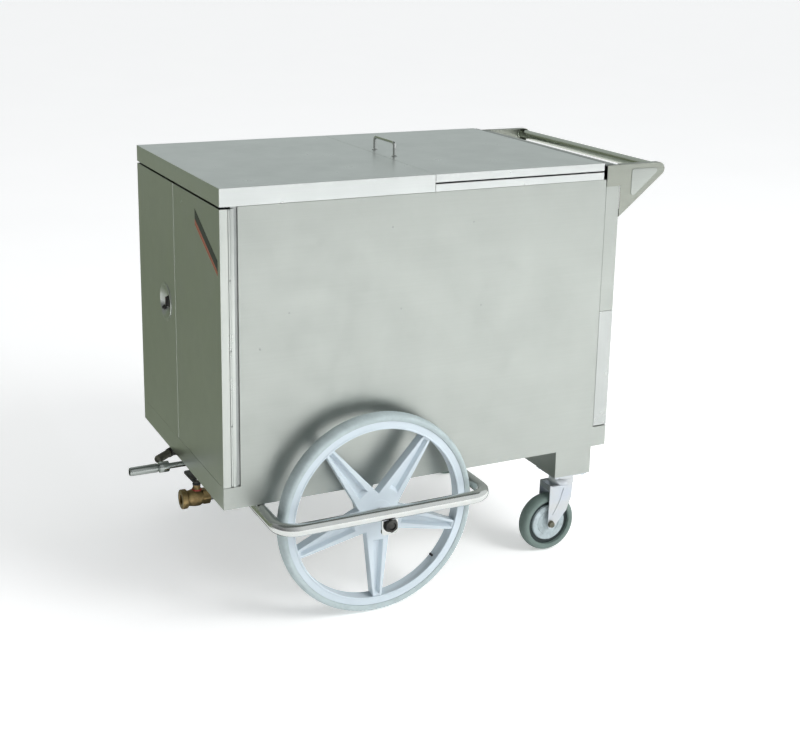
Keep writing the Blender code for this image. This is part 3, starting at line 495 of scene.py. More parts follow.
def sheet(node, skin, body="frame", width=0.0006, sharp=15.0):
    """A sheet part as CAD has it, its edges eased and its flats kept flat."""
    return piece(f"{node}_sheet", soften(cad_mesh(node), width, 2, 40), skin, body, (node,), sharp)


# ---- sheet metal ----
def make_sheets():
    sheet("front_panel", "panel")
    sheet("back_panel", "panel")
    sheet("base_tray", "end")
    sheet("end_door", "end", body="end_door")
    sheet("control_panel", "end")
    sheet("left_cover", "cover")
    sheet("lid", "cover", body="lid")
    sheet("well_rim", "cover")
    sheet("push_end_panel", "panel")
    sheet("push_end_flap", "flap", body="push_end_flap")
    sheet("caster_beam", "panel")
    sheet("well_tank", "inner")
    sheet("divider", "inner")
    for corner in ("front_left", "front_right", "back_left", "back_right"):
        sheet(f"post_{corner}", "inner", width=0.0003)


def rivet_rows():
    """Dots on the front panel, the same on the back, and a few screws at the ends."""
    dots = [(0.344, 0.761), (0.365, 0.598), (0.133, 0.614), (0.52, 0.758), (0.075, 0.55), (0.543, 0.587)]
    for side in SIDES:
        heads = [dome(0.0019, 0.0005, spot(x, 0.0001, z), (0, -1, 0)) for x, z in dots]
        piece(f"panel_rivets_{side}", sided(joined(*heads), side), "inner")
    screws = (("cover_screw", 0.261, 0.851, "frame"), ("door_screw", 0.229, 0.793, "end_door"))
    for name, y, z, body in screws:
        piece(name, dome(0.0022, 0.0007, spot(0.0001, y, z), (-1, 0, 0)), "end", body)
    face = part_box("push_end_panel")[1].x - LEFT - 0.0001
    places = [(y, z) for y in (0.03, 0.52) for z in (0.56, 0.69)]
    heads = [dome(0.0024, 0.0008, spot(face, y, z), X_AXIS) for y, z in places]
    piece("push_end_screws", joined(*heads), "panel")


def make_stripe():
    """A plain two-colour stripe on the end door, in place of the printed one."""
    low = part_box("end_door")[0].x - LEFT
    bands = (
        ("stripe_dark", (0.146, 0.785), (0.014, 0.713), 0.0095),
        ("stripe_red", (0.146, 0.77), (0.014, 0.7), 0.0062),
    )
    for level, (name, top, bottom, half) in enumerate(bands):
        outline = [(top[0], top[1] + half), (bottom[0], bottom[1] + half)]
        outline += [(bottom[0], bottom[1] - half), (top[0], top[1] - half)]
        face = low - 0.0002 - 0.0001 * (1 - level)
        piece(name, prism(outline, "X", face, low + 0.0002), name, "end_door")


def make_door_hinge():
    """A long hinge at the front left corner: leaf, pin, and knuckles shared by frame and door."""
    low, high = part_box("end_door_hinge")
    axis = joint_place("end_door_hinge")
    cuts = [low.z, 0.407, 0.553, 0.687, high.z]
    leaf_outline = rectangle(axis.x + 0.0016, low.y, high.x - 0.003, low.y + 0.0016)
    leaf = soften(loft([[(x, y, z) for x, y in leaf_outline] for z in (low.z, high.z)]), 0.0003)
    pin_line = (axis.x, axis.y, 0)
    pin = rod(0.0011, low.z, high.z, pin_line, Z_AXIS, 16, 0.0003)
    own = []
    theirs = []
    for k, (z0, z1) in enumerate(zip(cuts, cuts[1:])):
        (own if k % 2 else theirs).append(rod(0.0024, z0 + 0.0008, z1 - 0.0008, pin_line, Z_AXIS, 24))
    piece("door_hinge_leaf", joined(leaf, pin, *own), "strip", "frame", ("end_door_hinge",))
    piece("door_hinge_knuckles", joined(*theirs), "strip", "end_door")


def make_lid_and_flap_hinges():
    low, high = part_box("lid_hinge")
    axis = joint_place("lid_hinge")
    sheet("lid_hinge", "inner", width=0.0002)
    count = 12
    length = (high.y - low.y - 0.004) / count
    knuckles = []
    for k in range(0, count, 2):
        start = low.y + 0.002 + k * length
        knuckles.append(rod(0.00325, start, start + length - 0.0008, (axis.x, 0, axis.z), Y_AXIS, 24))
    piece("lid_hinge_knuckles", joined(*knuckles), "inner")
    sheet("flap_hinge", "strip", width=0.0002)


# ---- handles ----
HANDLE_RADIUS = 0.0035


def pull_handle(name, body, corners, foot_axis):
    """A bent rod on two round feet."""
    shell = [tube(rounded_path(corners, 0.008), HANDLE_RADIUS, 20)]
    for foot in (corners[0], corners[-1]):
        profile = [(0, 0), (0.0062, 0), (0.0062, 0.0008), (0.0048, 0.002), (0.0036, 0.0024), (0, 0.0024)]
        shell.append(lathe(profile, foot, foot_axis, 24))
    piece(f"{name}_rod", joined(*shell), "bright", body, (name,))


def make_pull_handles():
    low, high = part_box("lid_handle")
    x = (low.x + high.x) / 2
    y0, y1, top = low.y + HANDLE_RADIUS, high.y - HANDLE_RADIUS, high.z - HANDLE_RADIUS
    pull_handle("lid_handle", "lid", [(x, y0, low.z), (x, y0, top), (x, y1, top), (x, y1, low.z)], Z_AXIS)
    low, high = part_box("flap_handle")
    z = (low.z + high.z) / 2
    y0, y1, out = low.y + HANDLE_RADIUS, high.y - HANDLE_RADIUS, high.x - HANDLE_RADIUS
    corners = [(low.x, y0, z), (out, y0, z), (out, y1, z), (low.x, y1, z)]
    pull_handle("flap_handle", "push_end_flap", corners, X_AXIS)


def rounded(corners, bend, steps=6):
    """A closed outline with each corner rounded, in two dimensions."""
    outline = []
    count = len(corners)
    for i, corner in enumerate(corners):
        corner = Vector(corner)
        way_in = (Vector(corners[i - 1]) - corner).normalized()
        way_out = (Vector(corners[(i + 1) % count]) - corner).normalized()
        half = acos(max(-1.0, min(1.0, way_in.dot(way_out)))) / 2
        reach = bend / tan(half)
        centre = corner + (way_in + way_out).normalized() * (bend / sin(half))
        start, end = corner + way_in * reach - centre, corner + way_out * reach - centre
        a0, a1 = atan2(start.y, start.x), atan2(end.y, end.x)
        turn = (a1 - a0 + pi) % (2 * pi) - pi
        for k in range(steps + 1):
            a = a0 + turn * k / steps
            outline.append((centre.x + bend * cos(a), centre.y + bend * sin(a)))
    return outline


def make_push_handle():
    """The two gussets with their pressed triangles, and the bar between them."""
    for side in SIDES:
        node = f"handle_bracket_{side}"
        sheet(node, "gusset", width=0.0005)
        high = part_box(node)[1]
        x1, z1 = high.x - LEFT, high.z
        outline = rounded([(0.889, 0.78), (0.889, z1 - 0.01), (x1 - 0.009, z1 - 0.01)], 0.006)
        face = -0.0018
        pressed = prism(outline, "Y", face - 0.0012, face + 0.0002, 0.001, 3)
        piece(f"gusset_press_{side}", sided(pressed, side), "panel")
    low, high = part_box("push_bar")
    centre = (low + high) / 2
    radius = (high.x - low.x) / 2
    shell = [rod(radius, low.y, high.y, (centre.x, 0, centre.z), Y_AXIS, 48, 0.0004)]
    weld = [(radius - 0.001, 0.0004), (radius + 0.0018, 0.0004), (radius + 0.0012, 0.0016)]
    weld.append((radius - 0.001, 0.0026))
    for y, out in ((low.y, 1), (high.y, -1)):
        shell.append(ring(weld, (centre.x, y, centre.z), (0, out, 0), 48))
    piece("push_bar_tube", joined(*shell), "bar", "frame", ("push_bar",))


# ---- controls ----
CUP_LOW, CUP_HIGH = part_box("control_cup")
CUP_CENTRE = middle_line("control_cup")
CUP_WALL = 0.0012
CUP_FRONT = LEFT - 0.0003


def make_control_cup():
    """The spun recess round the knob."""
    flange = (CUP_HIGH.y - CUP_LOW.y) / 2
    mouth, base, wall = flange - 0.0035, 0.022, CUP_WALL
    floor, front = CUP_HIGH.x, CUP_FRONT
    profile = [(0, floor), (base, floor), (mouth, front + 0.0018), (mouth, front), (flange, front)]
    profile += [(flange, front - 0.0006), (flange - 0.0006, front - wall), (mouth, front - wall)]
    profile += [(mouth - 0.001, front - 0.0004), (base + 0.0006, floor - wall - 0.0008)]
    profile += [(base - 0.0012, floor - wall), (0, floor - wall)]
    cup = lathe(profile, CUP_CENTRE, X_AXIS, 96)
    piece("control_cup_spun", cup, "strip", "frame", ("control_cup",))


def make_control_knob():
    """A black knob: skirt, fluted crown and grip ridge, with a red dot."""
    low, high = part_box("control_knob")
    centre = CUP_CENTRE
    radius = (high.y - low.y) / 2
    back, face = high.x, low.x + 0.003
    profile = [(0, back), (radius - 0.0004, back), (radius, back - 0.0005), (radius, back - 0.0026)]
    profile += [(radius - 0.001, back - 0.0036), (0, back - 0.0038)]
    skirt = lathe(profile, centre, X_AXIS, 64)
    flutes = 16
    loops = []
    for x, inset in ((back - 0.003, 0.0), (face + 0.0012, 0.0005), (face + 0.0003, 0.0009), (face, 0.0018)):
        loop = []
        for a in full_turn(96):
            r = radius - 0.0019 + 0.0005 * cos(flutes * a) - inset
            loop.append((x, centre.y + r * cos(a), centre.z + r * sin(a)))
        loops.append(loop)
    ridge = bmesh.new()
    bmesh.ops.create_cube(ridge, size=1.0)
    for vert in ridge.verts:
        x, y, z = vert.co
        vert.co = (face - 0.0012 + x * 0.0034, centre.y + y * 0.0048, centre.z + z * 0.019)
    knob = joined(skirt, loft(loops), soften(ridge, 0.0007, 3))
    piece("control_knob_grip", knob, "black", "control_knob", ("control_knob",))
    dot = rod(0.0007, low.x, low.x + 0.0004, centre + Vector((0, 0, 0.0068)), X_AXIS, 12, 0.0001)
    piece("control_knob_dot", dot, "red", "control_knob")


def make_igniter():
    """The igniter's button and bezel, the parts behind the panel, and the mark beside the knob."""
    low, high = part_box("igniter_button")
    centre = middle_line("igniter_button")
    r = (high.y - low.y) / 2
    profile = [(0, high.x), (r, high.x), (r, low.x + 0.0012), (r - 0.0004, low.x + 0.0004)]
    profile += [(r - 0.0013, low.x), (0, low.x + 0.0003)]
    button = lathe(profile, centre, X_AXIS, 40)
    piece("igniter_button_cap", button, "black", "igniter_button", ("igniter_button",))
    profile = [(r + 0.0004, CUP_FRONT + 0.0065), (r + 0.0022, CUP_FRONT + 0.0065)]
    profile += [(r + 0.002, CUP_FRONT + 0.0024), (r + 0.0006, CUP_FRONT + 0.0016)]
    bezel = ring(profile, centre, X_AXIS, 40)
    piece("igniter_bezel", bezel, "black")
    sheet("igniter_body", "black", width=0.0005)
    sheet("gas_valve", "brass", width=0.0005)
    floor = CUP_HIGH.x - CUP_WALL
    mark_at = CUP_CENTRE + Vector((0, 0.0175, 0.004))
    mark = rod(0.0018, floor - 0.0006, floor - 0.0001, mark_at, X_AXIS, 20, 0.0001)
    piece("control_mark", mark, "red")


# ---- gas and drain ----
def hexagon(radius, low, high, centre, axis, chamfer=0.001, bore=0.0):
    """A hexagon nut with turned chamfers, as a solid or round a bore."""
    turn = aimed(axis)
    corner = radius / cos(pi / 6)
    loops = []
    for along, inset in ((low, chamfer), (low + chamfer, 0.0), (high - chamfer, 0.0), (high, chamfer)):
        loop = []
        for a in full_turn(48):
            local = (a + pi / 6) % (pi / 3) - pi / 6
            r = min(radius / cos(local), corner - inset)
            loop.append(round_point(turn, centre, r, a, along))
        loops.append(loop)
    if bore:
        loops += [[round_point(turn, centre, bore, a, along) for a in full_turn(48)] for along in (high, low)]
    return loft(loops, closed=bore > 0)


def make_gas_tail():
    low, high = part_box("gas_inlet")
    x0, collar, wide = low.x, LEFT - 0.024, (high.y - low.y) / 2
    bore_end = x0 + 0.045
    profile = [(0.006, x0 + 0.0006), (0.0068, x0), (0.0078, x0 + 0.0004), (0.0088, x0 + 0.002)]
    profile += [(0.0092, x0 + 0.0045), (0.0094, collar - 0.025), (0.008, collar - 0.023)]
    profile += [(0.008, collar - 0.0205), (0.011, collar - 0.02), (wide, collar - 0.0192)]
    profile += [(wide, collar - 0.0012), (0.0108, collar), (0.0062, collar + 0.001)]
    profile += [(0.006, collar + 0.002), (0.006, high.x), (0, high.x), (0, bore_end), (0.0058, bore_end)]
    tail = ring(profile, middle_line("gas_inlet"), X_AXIS, 56)
    piece("gas_tail", tail, "tail", "frame", ("gas_inlet",))


def make_gas():
    make_gas_tail()
    low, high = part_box("gas_elbow")
    level = high.z - 0.012
    foot = Vector((high.x - 0.01, high.y - 0.01, 0))
    free = Vector((low.x + 0.0066, low.y + 0.0056, 0))
    along, reach = (foot - free).normalized(), (foot - free).length
    start = Vector((free.x, free.y, level))
    profile = [(0, 0.002), (0.0045, 0.002), (0.0055, 0.0), (0.008, 0.0006), (0.0085, 0.002)]
    profile += [(0.0085, reach * 0.6), (0.007, reach * 0.62), (0.007, reach), (0, reach)]
    sleeve = lathe(profile, start, along, 40)
    piece("gas_elbow_sleeve", sleeve, "olive", "frame", ("gas_elbow",))
    profile = [(0, level - 0.01), (0.0075, level - 0.01), (0.01, level - 0.008)]
    profile += [(0.01, high.z - 0.0015), (0.0115, high.z - 0.0015), (0.0115, high.z), (0, high.z)]
    boss = lathe(profile, Vector((foot.x, foot.y, 0)), Z_AXIS, 40)
    near, far = reach * 0.66, reach * 0.92
    knuckle = ring(rectangle(0.0071, near, 0.0098, far), start, along, 40)
    piece("gas_elbow_boss", joined(boss, knuckle), "iron")
    sheet("supply_pipe", "copper", width=0.0001, sharp=60)
    sheet("burner_pipe", "copper", width=0.0001, sharp=60)
    sheet("burner", "iron", width=0.0008)
    sheet("drain_pipe", "inner", width=0.0001, sharp=60)


def make_drain_valve():
    low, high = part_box("drain_valve")
    centre = Vector((0, (low.y + high.y) / 2, low.z + (high.y - low.y) / 2))
    x0, x1 = low.x, high.x
    big = (high.y - low.y) / 2
    profile = [(0.01, 0.0012), (0.0112, 0), (big - 0.0012, 0), (big, 0.001), (big, 0.0105)]
    profile += [(big - 0.0014, 0.012), (0.0168, 0.0128), (0.016, 0.016), (0.0172, 0.0215)]
    profile += [(0.0184, 0.028), (0.0184, 0.037), (0.0166, 0.0415), (0.015, 0.044), (0.015, 0.0455)]
    profile += [(0, 0.0455), (0, 0.022), (0.01, 0.02)]
    body = ring(moved(profile, x0), centre, X_AXIS, 64)
    nut = hexagon(0.0148, x0 + 0.045, x1, centre, X_AXIS)
    lever_low, lever_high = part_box("drain_lever")
    stem_at = Vector((lever_low.x + (lever_high.x - lever_low.x) / 2, lever_low.y + 0.0085, 0))
    z = centre.z
    profile = [(0, 0), (0.009, 0), (0.0086, 0.0195), (0.0074, 0.0215), (0, 0.0215)]
    neck = lathe(moved(profile, z), stem_at, Z_AXIS, 40)
    gland = hexagon(0.007, z + 0.02, lever_low.z - 0.0004, stem_at, Z_AXIS, 0.0006)
    piece("drain_valve_body", joined(body, nut, neck, gland), "brass", "frame", ("drain_valve",))
    profile = [(0, 0.0185), (0.005, 0.019), (0.0098, 0.0215), (0.0098, 0.0225), (0, 0.0225)]
    ball = lathe(moved(profile, x0), centre, X_AXIS, 40)
    piece("drain_valve_ball", ball, "bright")
    profile = [(0.009, 0.016), (0.0101, 0.016), (0.0101, 0.0188), (0.0088, 0.0188)]
    band = ring(moved(profile, z), stem_at, Z_AXIS, 40)
    piece("drain_valve_ring", band, "red")
    make_drain_lever(stem_at, lever_low.z, lever_high.z)


def make_drain_lever(stem_at, z0, z1):
    """The lever's hub, blade and black sleeve, held by a nut on the valve's stem."""
    profile = [(0, 0), (0.0082, 0), (0.0085, 0.0004), (0.0085, 0.0022), (0.008, 0.0028), (0, 0.0028)]
    hub = lathe(moved(profile, z0), stem_at, Z_AXIS, 40)
    nut = hexagon(0.0058, z0 + 0.0026, z1 - 0.0003, stem_at, Z_AXIS, 0.0006)
    x, y = stem_at.x - LEFT, stem_at.y - FRONT
    outline = [(x - 0.005, y), (x + 0.005, y), (x + 0.0055, y + 0.03), (x - 0.0055, y + 0.03)]
    blade = prism(outline, "Z", z0 + 0.0004, z0 + 0.0026, 0.0005)
    near, far = y + 0.012, y + 0.0655
    outline = [(x - 0.0058, near), (x + 0.0058, near), (x + 0.008, far), (x - 0.008, far)]
    sleeve = prism(rounded(outline, 0.0045), "Z", z0 + 0.0002, z0 + 0.006, 0.0018, 3)
    lever = joined(hub, blade, sleeve)
    piece("drain_lever_sleeve", lever, "black", "drain_lever", ("drain_lever",))
    piece("drain_lever_nut", nut, "iron", "drain_lever")


# ---- wheels ----
SPOKES = 5
RIBS = 150
STEM_ANGLE = -0.75


def wheel_point(centre, angle, radius, offset=0.0):
    """A point of a wheel's face, in cart coordinates, offset to the left of its spoke line."""
    x = centre.x - LEFT + radius * cos(angle) - offset * sin(angle)
    z = centre.z + radius * sin(angle) + offset * cos(angle)
    return (x, z)


def make_wheel_star(centre, y, inner):
    """Five channel spokes that grow from a flat five-sided plate."""
    angles = [radians(-90 + 360 / SPOKES * k) for k in range(SPOKES)]
    half_in, half_out, reach = 0.025, 0.009, inner + 0.0045
    corner = half_in / sin(pi / SPOKES)
    outline = []
    for angle in angles:
        outline.append(wheel_point(centre, angle - pi / SPOKES, corner))
        outline.append(wheel_point(centre, angle, reach, -half_out))
        outline.append(wheel_point(centre, angle, reach, half_out))
    star = prism(outline, "Y", y - 0.011, y + 0.011)
    for angle in angles:
        loops = []
        for depth, near, far, start, end in (
            (y - 0.0125, 0.0118, 0.0056, 0.053, inner - 0.0015),
            (y - 0.001, 0.0068, 0.002, 0.06, inner - 0.008),
        ):
            corners = [(start, -near), (end, -far), (end, far), (start, near)]
            points = [wheel_point(centre, angle, r, o) for r, o in corners]
            loops.append([spot(px, depth, pz) for px, pz in points])
        star = boolean(star, loft(loops), "DIFFERENCE")
    return soften(star, 0.0012, 3, 25)


def tread(radius, half, power, steps):
    """A tyre's tread in section: it swells from one shoulder to the other."""
    bulge = 0.0085
    points = []
    for k in range(steps + 1):
        a = pi * (k / steps - 0.5)
        points.append((radius - bulge + bulge * max(0.0, cos(a)) ** power, half * sin(a)))
    return points


def make_casting(side, centre, rim_outer):
    """Spokes, hub and rim in one casting, with the tyre's valve stem."""
    bore_radius = 0.0128
    inner = rim_outer - 0.016
    star = make_wheel_star(centre, centre.y - FRONT, inner)
    profile = [(bore_radius, -0.0112), (0.029, -0.0112), (0.03, -0.0102), (0.03, 0.0145)]
    profile += [(0.028, 0.016), (bore_radius, 0.016)]
    hub = boolean(star, ring(profile, centre, Y_AXIS, 64), "UNION")
    hub = boolean(hub, rod(bore_radius, -0.03, 0.03, centre, Y_AXIS, 64, 0.0), "DIFFERENCE")
    lip = [(inner, -0.0125), (inner + 0.0008, -0.0138), (inner + 0.0026, -0.014), (inner + 0.0038, -0.0128)]
    profile = lip + [(inner + 0.0052, -0.0124), (inner + 0.014, -0.0132)]
    profile += [(rim_outer - 0.0002, -0.013), (rim_outer - 0.0002, 0.013)] + flipped(lip)
    profile += [(inner + 0.0016, 0.008), (inner + 0.0028, 0.0000), (inner + 0.0016, -0.008)]
    rim = ring(profile, centre, Y_AXIS, 160)
    ends = []
    for r in (inner + 0.0025, inner - 0.007):
        ends.append(centre + Vector((r * cos(STEM_ANGLE), 0.004, r * sin(STEM_ANGLE))))
    stem = tube(ends, 0.0026, 16, 0.002)
    body = f"wheel_{side}"
    piece(f"wheel_{side}_casting", sided(joined(hub, rim), side), "wheel", body, (body,))
    piece(f"wheel_{side}_stem", sided(stem, side), "black", body)


def make_tyre(side, centre, radius, half, rim_outer):
    """A tyre with fine ribs across its tread."""
    bed = rim_outer + 0.0002
    section = [(bed, half - 0.003), (bed, -half + 0.003), *tread(radius, half, 0.75, 10)]
    loops = []
    for i, a in enumerate(full_turn(RIBS * 4)):
        rib = 0.0 if i % 4 < 2 else 0.0004
        loop = []
        for n, (r, along) in enumerate(section):
            r_now = r - rib if 3 <= n <= len(section) - 2 else r
            loop.append(centre + Vector((r_now * cos(a), along, r_now * sin(a))))
        loops.append(loop)
    tyre = sided(loft(loops, closed=True), side)
    piece(f"tyre_{side}_ribbed", tyre, "tyre", f"wheel_{side}", (f"tyre_{side}",), sharp=50)


def make_wheels():
    low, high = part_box("tyre_front")
    centre = (low + high) / 2
    bush_low, bush_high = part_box("wheel_bush_front")
    bush_half = (bush_high.y - bush_low.y) / 2
    axle_low, axle_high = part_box("axle")
    bore = (axle_high.x - axle_low.x) / 2 + 0.0001
    for side in SIDES:
        rim_low, rim_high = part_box(f"wheel_{side}")
        rim_outer = (rim_high.z - rim_low.z) / 2
        make_casting(side, centre, rim_outer)
        make_tyre(side, centre, (high.z - low.z) / 2, (high.y - low.y) / 2, rim_outer)
        end = [(bore, -bush_half), (0.0118, -bush_half), (0.0124, -bush_half + 0.0006)]
        bush = sided(ring(end + flipped(end), centre, Y_AXIS, 48), side)
        piece(f"wheel_bush_{side}_turned", bush, "iron", f"wheel_{side}", (f"wheel_bush_{side}",))


def make_axle():
    low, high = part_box("axle")
    centre = (low + high) / 2
    line = (centre.x, 0, centre.z)
    radius = (high.x - low.x) / 2
    profile = [(0, low.y), (radius - 0.0012, low.y), (radius - 0.0002, low.y + 0.0012)]
    y = low.y + 0.0016
    while y < low.y + 0.0075:
        profile += [(radius - 0.0002, y), (radius - 0.0009, y + 0.0005), (radius - 0.0002, y + 0.001)]
        y += 0.001
    profile += [(radius, low.y + 0.0095), (radius, high.y - 0.0012), (radius - 0.0012, high.y), (0, high.y)]
    piece("axle_bar", lathe(profile, line, Y_AXIS, 40), "iron", "frame", ("axle",))
    nut_low, nut_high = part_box("axle_nut_front")
    washer_profile = rectangle(radius + 0.0003, nut_high.y - 0.0014, 0.0145, nut_high.y)
    for side in SIDES:
        nut = hexagon(0.0116, nut_low.y, nut_high.y - 0.0016, line, Y_AXIS, 0.0012, radius + 0.0001)
        nut = joined(nut, ring(washer_profile, line, Y_AXIS, 40))
        piece(f"axle_nut_{side}_hex", sided(nut, side), "iron", "frame", (f"axle_nut_{side}",))


def make_rails():
    """The bent guard rails, with the tab for the axle's end and the welds under the base."""
    low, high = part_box("guard_rail_front")
    axle = middle("axle")
    radius = 0.0125
    x0, x1 = low.x + radius, high.x - radius
    y0, y1 = low.y + radius, high.y
    level = high.z - radius
    corners = [(x0, y1, level), (x0, y0, level), (x1, y0, level), (x1, y1, level)]
    tab_half = 0.017
    tab_x, tab_y = axle.x - LEFT, y0 - FRONT
    outline = rounded(rectangle(tab_x - tab_half, low.z, tab_x + tab_half, level - 0.004), 0.005)
    for side in SIDES:
        bar = tube(rounded_path(corners, 0.038, 16), radius, 40, 0.003)
        tab = prism(outline, "Y", tab_y - 0.003, tab_y + 0.003)
        hole = rod(0.0084, tab_y - 0.02, tab_y + 0.02, (axle.x, FRONT, axle.z), Y_AXIS, 40, 0.0)
        tab = soften(boolean(tab, hole, "DIFFERENCE"), 0.0006, 2, 40)
        beads = []
        for x in (x0, x1):
            for out in (-1, 1):
                path = []
                for k in range(13):
                    rise = 0.0003 * (k % 2)
                    path.append((x + out * 0.0075, FRONT + 0.004 + 0.004 * k, level + 0.0105 + rise))
                beads.append(tube(path, 0.0016, 10, 0.001))
        for out in (-1, 1):
            path = []
            for k in range(9):
                dip = 0.0002 * (k % 2)
                path.append((axle.x + (k - 4) * 0.0038, y0 + out * 0.004, level - 0.0118 - dip))
            beads.append(tube(path, 0.0015, 10, 0.001))
        rail = sided(joined(bar, tab), side)
        piece(f"guard_rail_{side}_tube", rail, "bright", "frame", (f"guard_rail_{side}",))
        piece(f"guard_rail_{side}_welds", sided(joined(*beads), side), "zinc")


# ---- casters ----
PIN = middle("caster_plate_front")
PIN_X, PIN_Y = PIN.x - LEFT, PIN.y - FRONT
PIN_LINE = (PIN.x, PIN.y, 0)
FORK_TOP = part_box("caster_fork_front")[1].z
CASTER = middle("caster_tyre_front")


def make_caster_plate(side):
    """The plate with its ball race, stud and four bolts."""
    low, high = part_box("caster_plate_front")
    top, race_end = high.z, FORK_TOP + 0.0006
    outline = rounded(rectangle(PIN_X - 0.042, PIN_Y - 0.04, PIN_X + 0.042, PIN_Y + 0.04), 0.006)
    plate = prism(outline, "Z", top - 0.003, top, 0.0006)
    profile = [(0, top - 0.0028), (0.0265, top - 0.0028), (0.0275, top - 0.006)]
    profile += [(0.0262, FORK_TOP + 0.0008), (0.01, race_end), (0, race_end)]
    parts = [plate, lathe(profile, PIN_LINE, Z_AXIS, 64)]
    parts.append(rod(0.0058, low.z, FORK_TOP + 0.002, PIN_LINE, Z_AXIS, 32))
    for x in (PIN.x - 0.033, PIN.x + 0.033):
        for y in (PIN.y - 0.031, PIN.y + 0.031):
            parts.append(hexagon(0.005, top - 0.0068, top - 0.0028, (x, y, 0), Z_AXIS, 0.0006))
    shell = sided(joined(*parts), side)
    piece(f"caster_plate_{side}_race", shell, "zinc", "frame", (f"caster_plate_{side}",))


def make_caster_fork(side):
    """A pressed fork: crown, bridge, lip and two ribbed legs with eased edges, and the wheel's bolt."""
    body = f"caster_fork_{side}"
    profile = [(0.0064, 0.1502), (0.025, 0.1502), (0.0268, 0.152), (0.0268, 0.16)]
    profile += [(0.025, FORK_TOP), (0.0064, FORK_TOP)]
    crown = ring(profile, PIN_LINE, Z_AXIS, 64)
    wx = CASTER.x - LEFT
    left, right, crease = wx - 0.0058, wx + 0.0508, 0.1535
    leg = [(left, crease), (wx - 0.0078, 0.06), (wx - 0.004, 0.0538), (wx + 0.0062, 0.0538)]
    leg += [(wx + 0.0378, 0.0902), (wx + 0.0488, 0.12), (right, crease)]
    leg = rounded(leg, 0.002)
    near, far = PIN_Y - 0.0213, PIN_Y + 0.0213
    bridge = prism(rounded(rectangle(left, near, right, far), 0.003), "Z", 0.1507, crease, 0.0005)
    lip = [(left, crease), (left, 0.14), (left + 0.0016, 0.14), (left + 0.0018, 0.151)]
    parts = [crown, bridge, prism(lip, "Y", PIN_Y - 0.0205, PIN_Y + 0.0205, 0.0004)]
    for out in (-1, 1):
        y0, y1 = sorted((PIN_Y + out * 0.0185, PIN_Y + out * 0.0213))
        parts.append(prism(leg, "Y", y0, y1, 0.0006))
    for out in (-1, 1):
        face = PIN_Y + out * 0.0203
        rib = ((PIN_X - 0.005, 0.143), (PIN_X - 0.013, 0.115), (wx + 0.004, 0.084))
        parts.append(tube([spot(x, face, z) for x, z in rib], 0.0022, 14, 0.0015))
    piece(f"caster_fork_{side}_pressed", sided(joined(*parts), side), "zinc", body, (body,))
    bolt = joined(
        rod(0.004, -0.0262, 0.0262, CASTER, Y_AXIS, 32),
        hexagon(0.006, -0.0272, -0.0218, CASTER, Y_AXIS, 0.0008),
        hexagon(0.006, 0.0218, 0.0272, CASTER, Y_AXIS, 0.0008),
        rod(0.0078, -0.0222, -0.0214, CASTER, Y_AXIS, 32, 0.0002),
    )
    piece(f"caster_bolt_{side}_hex", sided(bolt, side), "olive", body, (f"caster_bolt_{side}",))


def make_caster_wheel(side):
    """A moulded core with a stepped face, a dark groove ring and a crowned tyre."""
    body = f"caster_wheel_{side}"
    face = [(0.0042, -0.0163), (0.01, -0.0163), (0.0115, -0.015), (0.013, -0.0118)]
    face += [(0.015, -0.0104), (0.025, -0.011), (0.0262, -0.0122), (0.0275, -0.0112)]
    face += [(0.0375, -0.0122), (0.0392, -0.0112), (0.04, -0.009)]
    core = ring(face + flipped(face), CASTER, Y_AXIS, 96)
    piece(f"caster_{side}_core", sided(core, side), "caster_core", body, (body,))
    edge = [(0.0396, -0.007), (0.0494, -0.0076)]
    band = ring(edge + flipped(edge), CASTER, Y_AXIS, 96)
    piece(f"caster_{side}_groove", sided(band, side), "caster_ring", body)
    low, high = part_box("caster_tyre_front")
    radius, half = (high.z - low.z) / 2, (high.y - low.y) / 2
    shoulder = [(0.05, -half + 0.0012), (0.0515, -half + 0.0004)]
    section = [(0.0492, half - 0.0036), (0.0492, -half + 0.0036), *shoulder]
    section += tread(radius, half, 0.8, 12) + flipped(shoulder)
    tyre = sided(ring(section, CASTER, Y_AXIS, 120), side)
    piece(f"caster_{side}_tyre", tyre, "caster_tyre", body, (f"caster_tyre_{side}",))


# ---- studio ----
CAMERA_PLACE = spot(-0.7267, -2.2035, 1.2847)
CAMERA_ANGLES = (14.14, 26.27, 1.06)  # pitch down, yaw and roll in degrees
CAMERA_LENS, CAMERA_SHIFT = 59.29, -0.1219
KEY_PLACE, KEY_TARGET = (2.4, -3.4, 3.2), (0, 0, 0.4)
KEY_SIZE, KEY_POWER = 2.6, 150


def make_floor():
    bm = bmesh.new()
    bmesh.ops.create_grid(bm, x_segments=2, y_segments=2, size=30)
    floor = as_object("studio_floor", bm)
    floor.location = (0, 0, -0.0002)
    m = Nodes("floor_paint", 0.8, 0.0, Emission_Color=(1, 1, 1, 1), Emission_Strength=0.35)
    cloud = m.noise(1.5, 3.0, 0.5)
    m.colour(m.ramp(cloud, [(0.3, (0.9, 0.9, 0.9)), (0.7, (0.92, 0.92, 0.92))]))
    floor.data.materials.append(m.material)


def make_card(name, corners, colour, strength):
    """A glowing card that only polished surfaces see."""
    bm = bmesh.new()
    bm.faces.new([bm.verts.new(corner) for corner in corners])
    card = as_object(name, bm)
    material = bpy.data.materials.new(name)
    material.use_nodes = True
    tree = material.node_tree
    tree.nodes.clear()
    glow = add_node(tree, "Emission", Color=(*colour, 1.0), Strength=strength)
    output = add_node(tree, "OutputMaterial")
    tree.links.new(glow.outputs["Emission"], output.inputs["Surface"])
    card.data.materials.append(material)
    card.visible_camera = False
    card.visible_diffuse = False
    card.visible_shadow = False
    card.visible_transmission = False
    return card


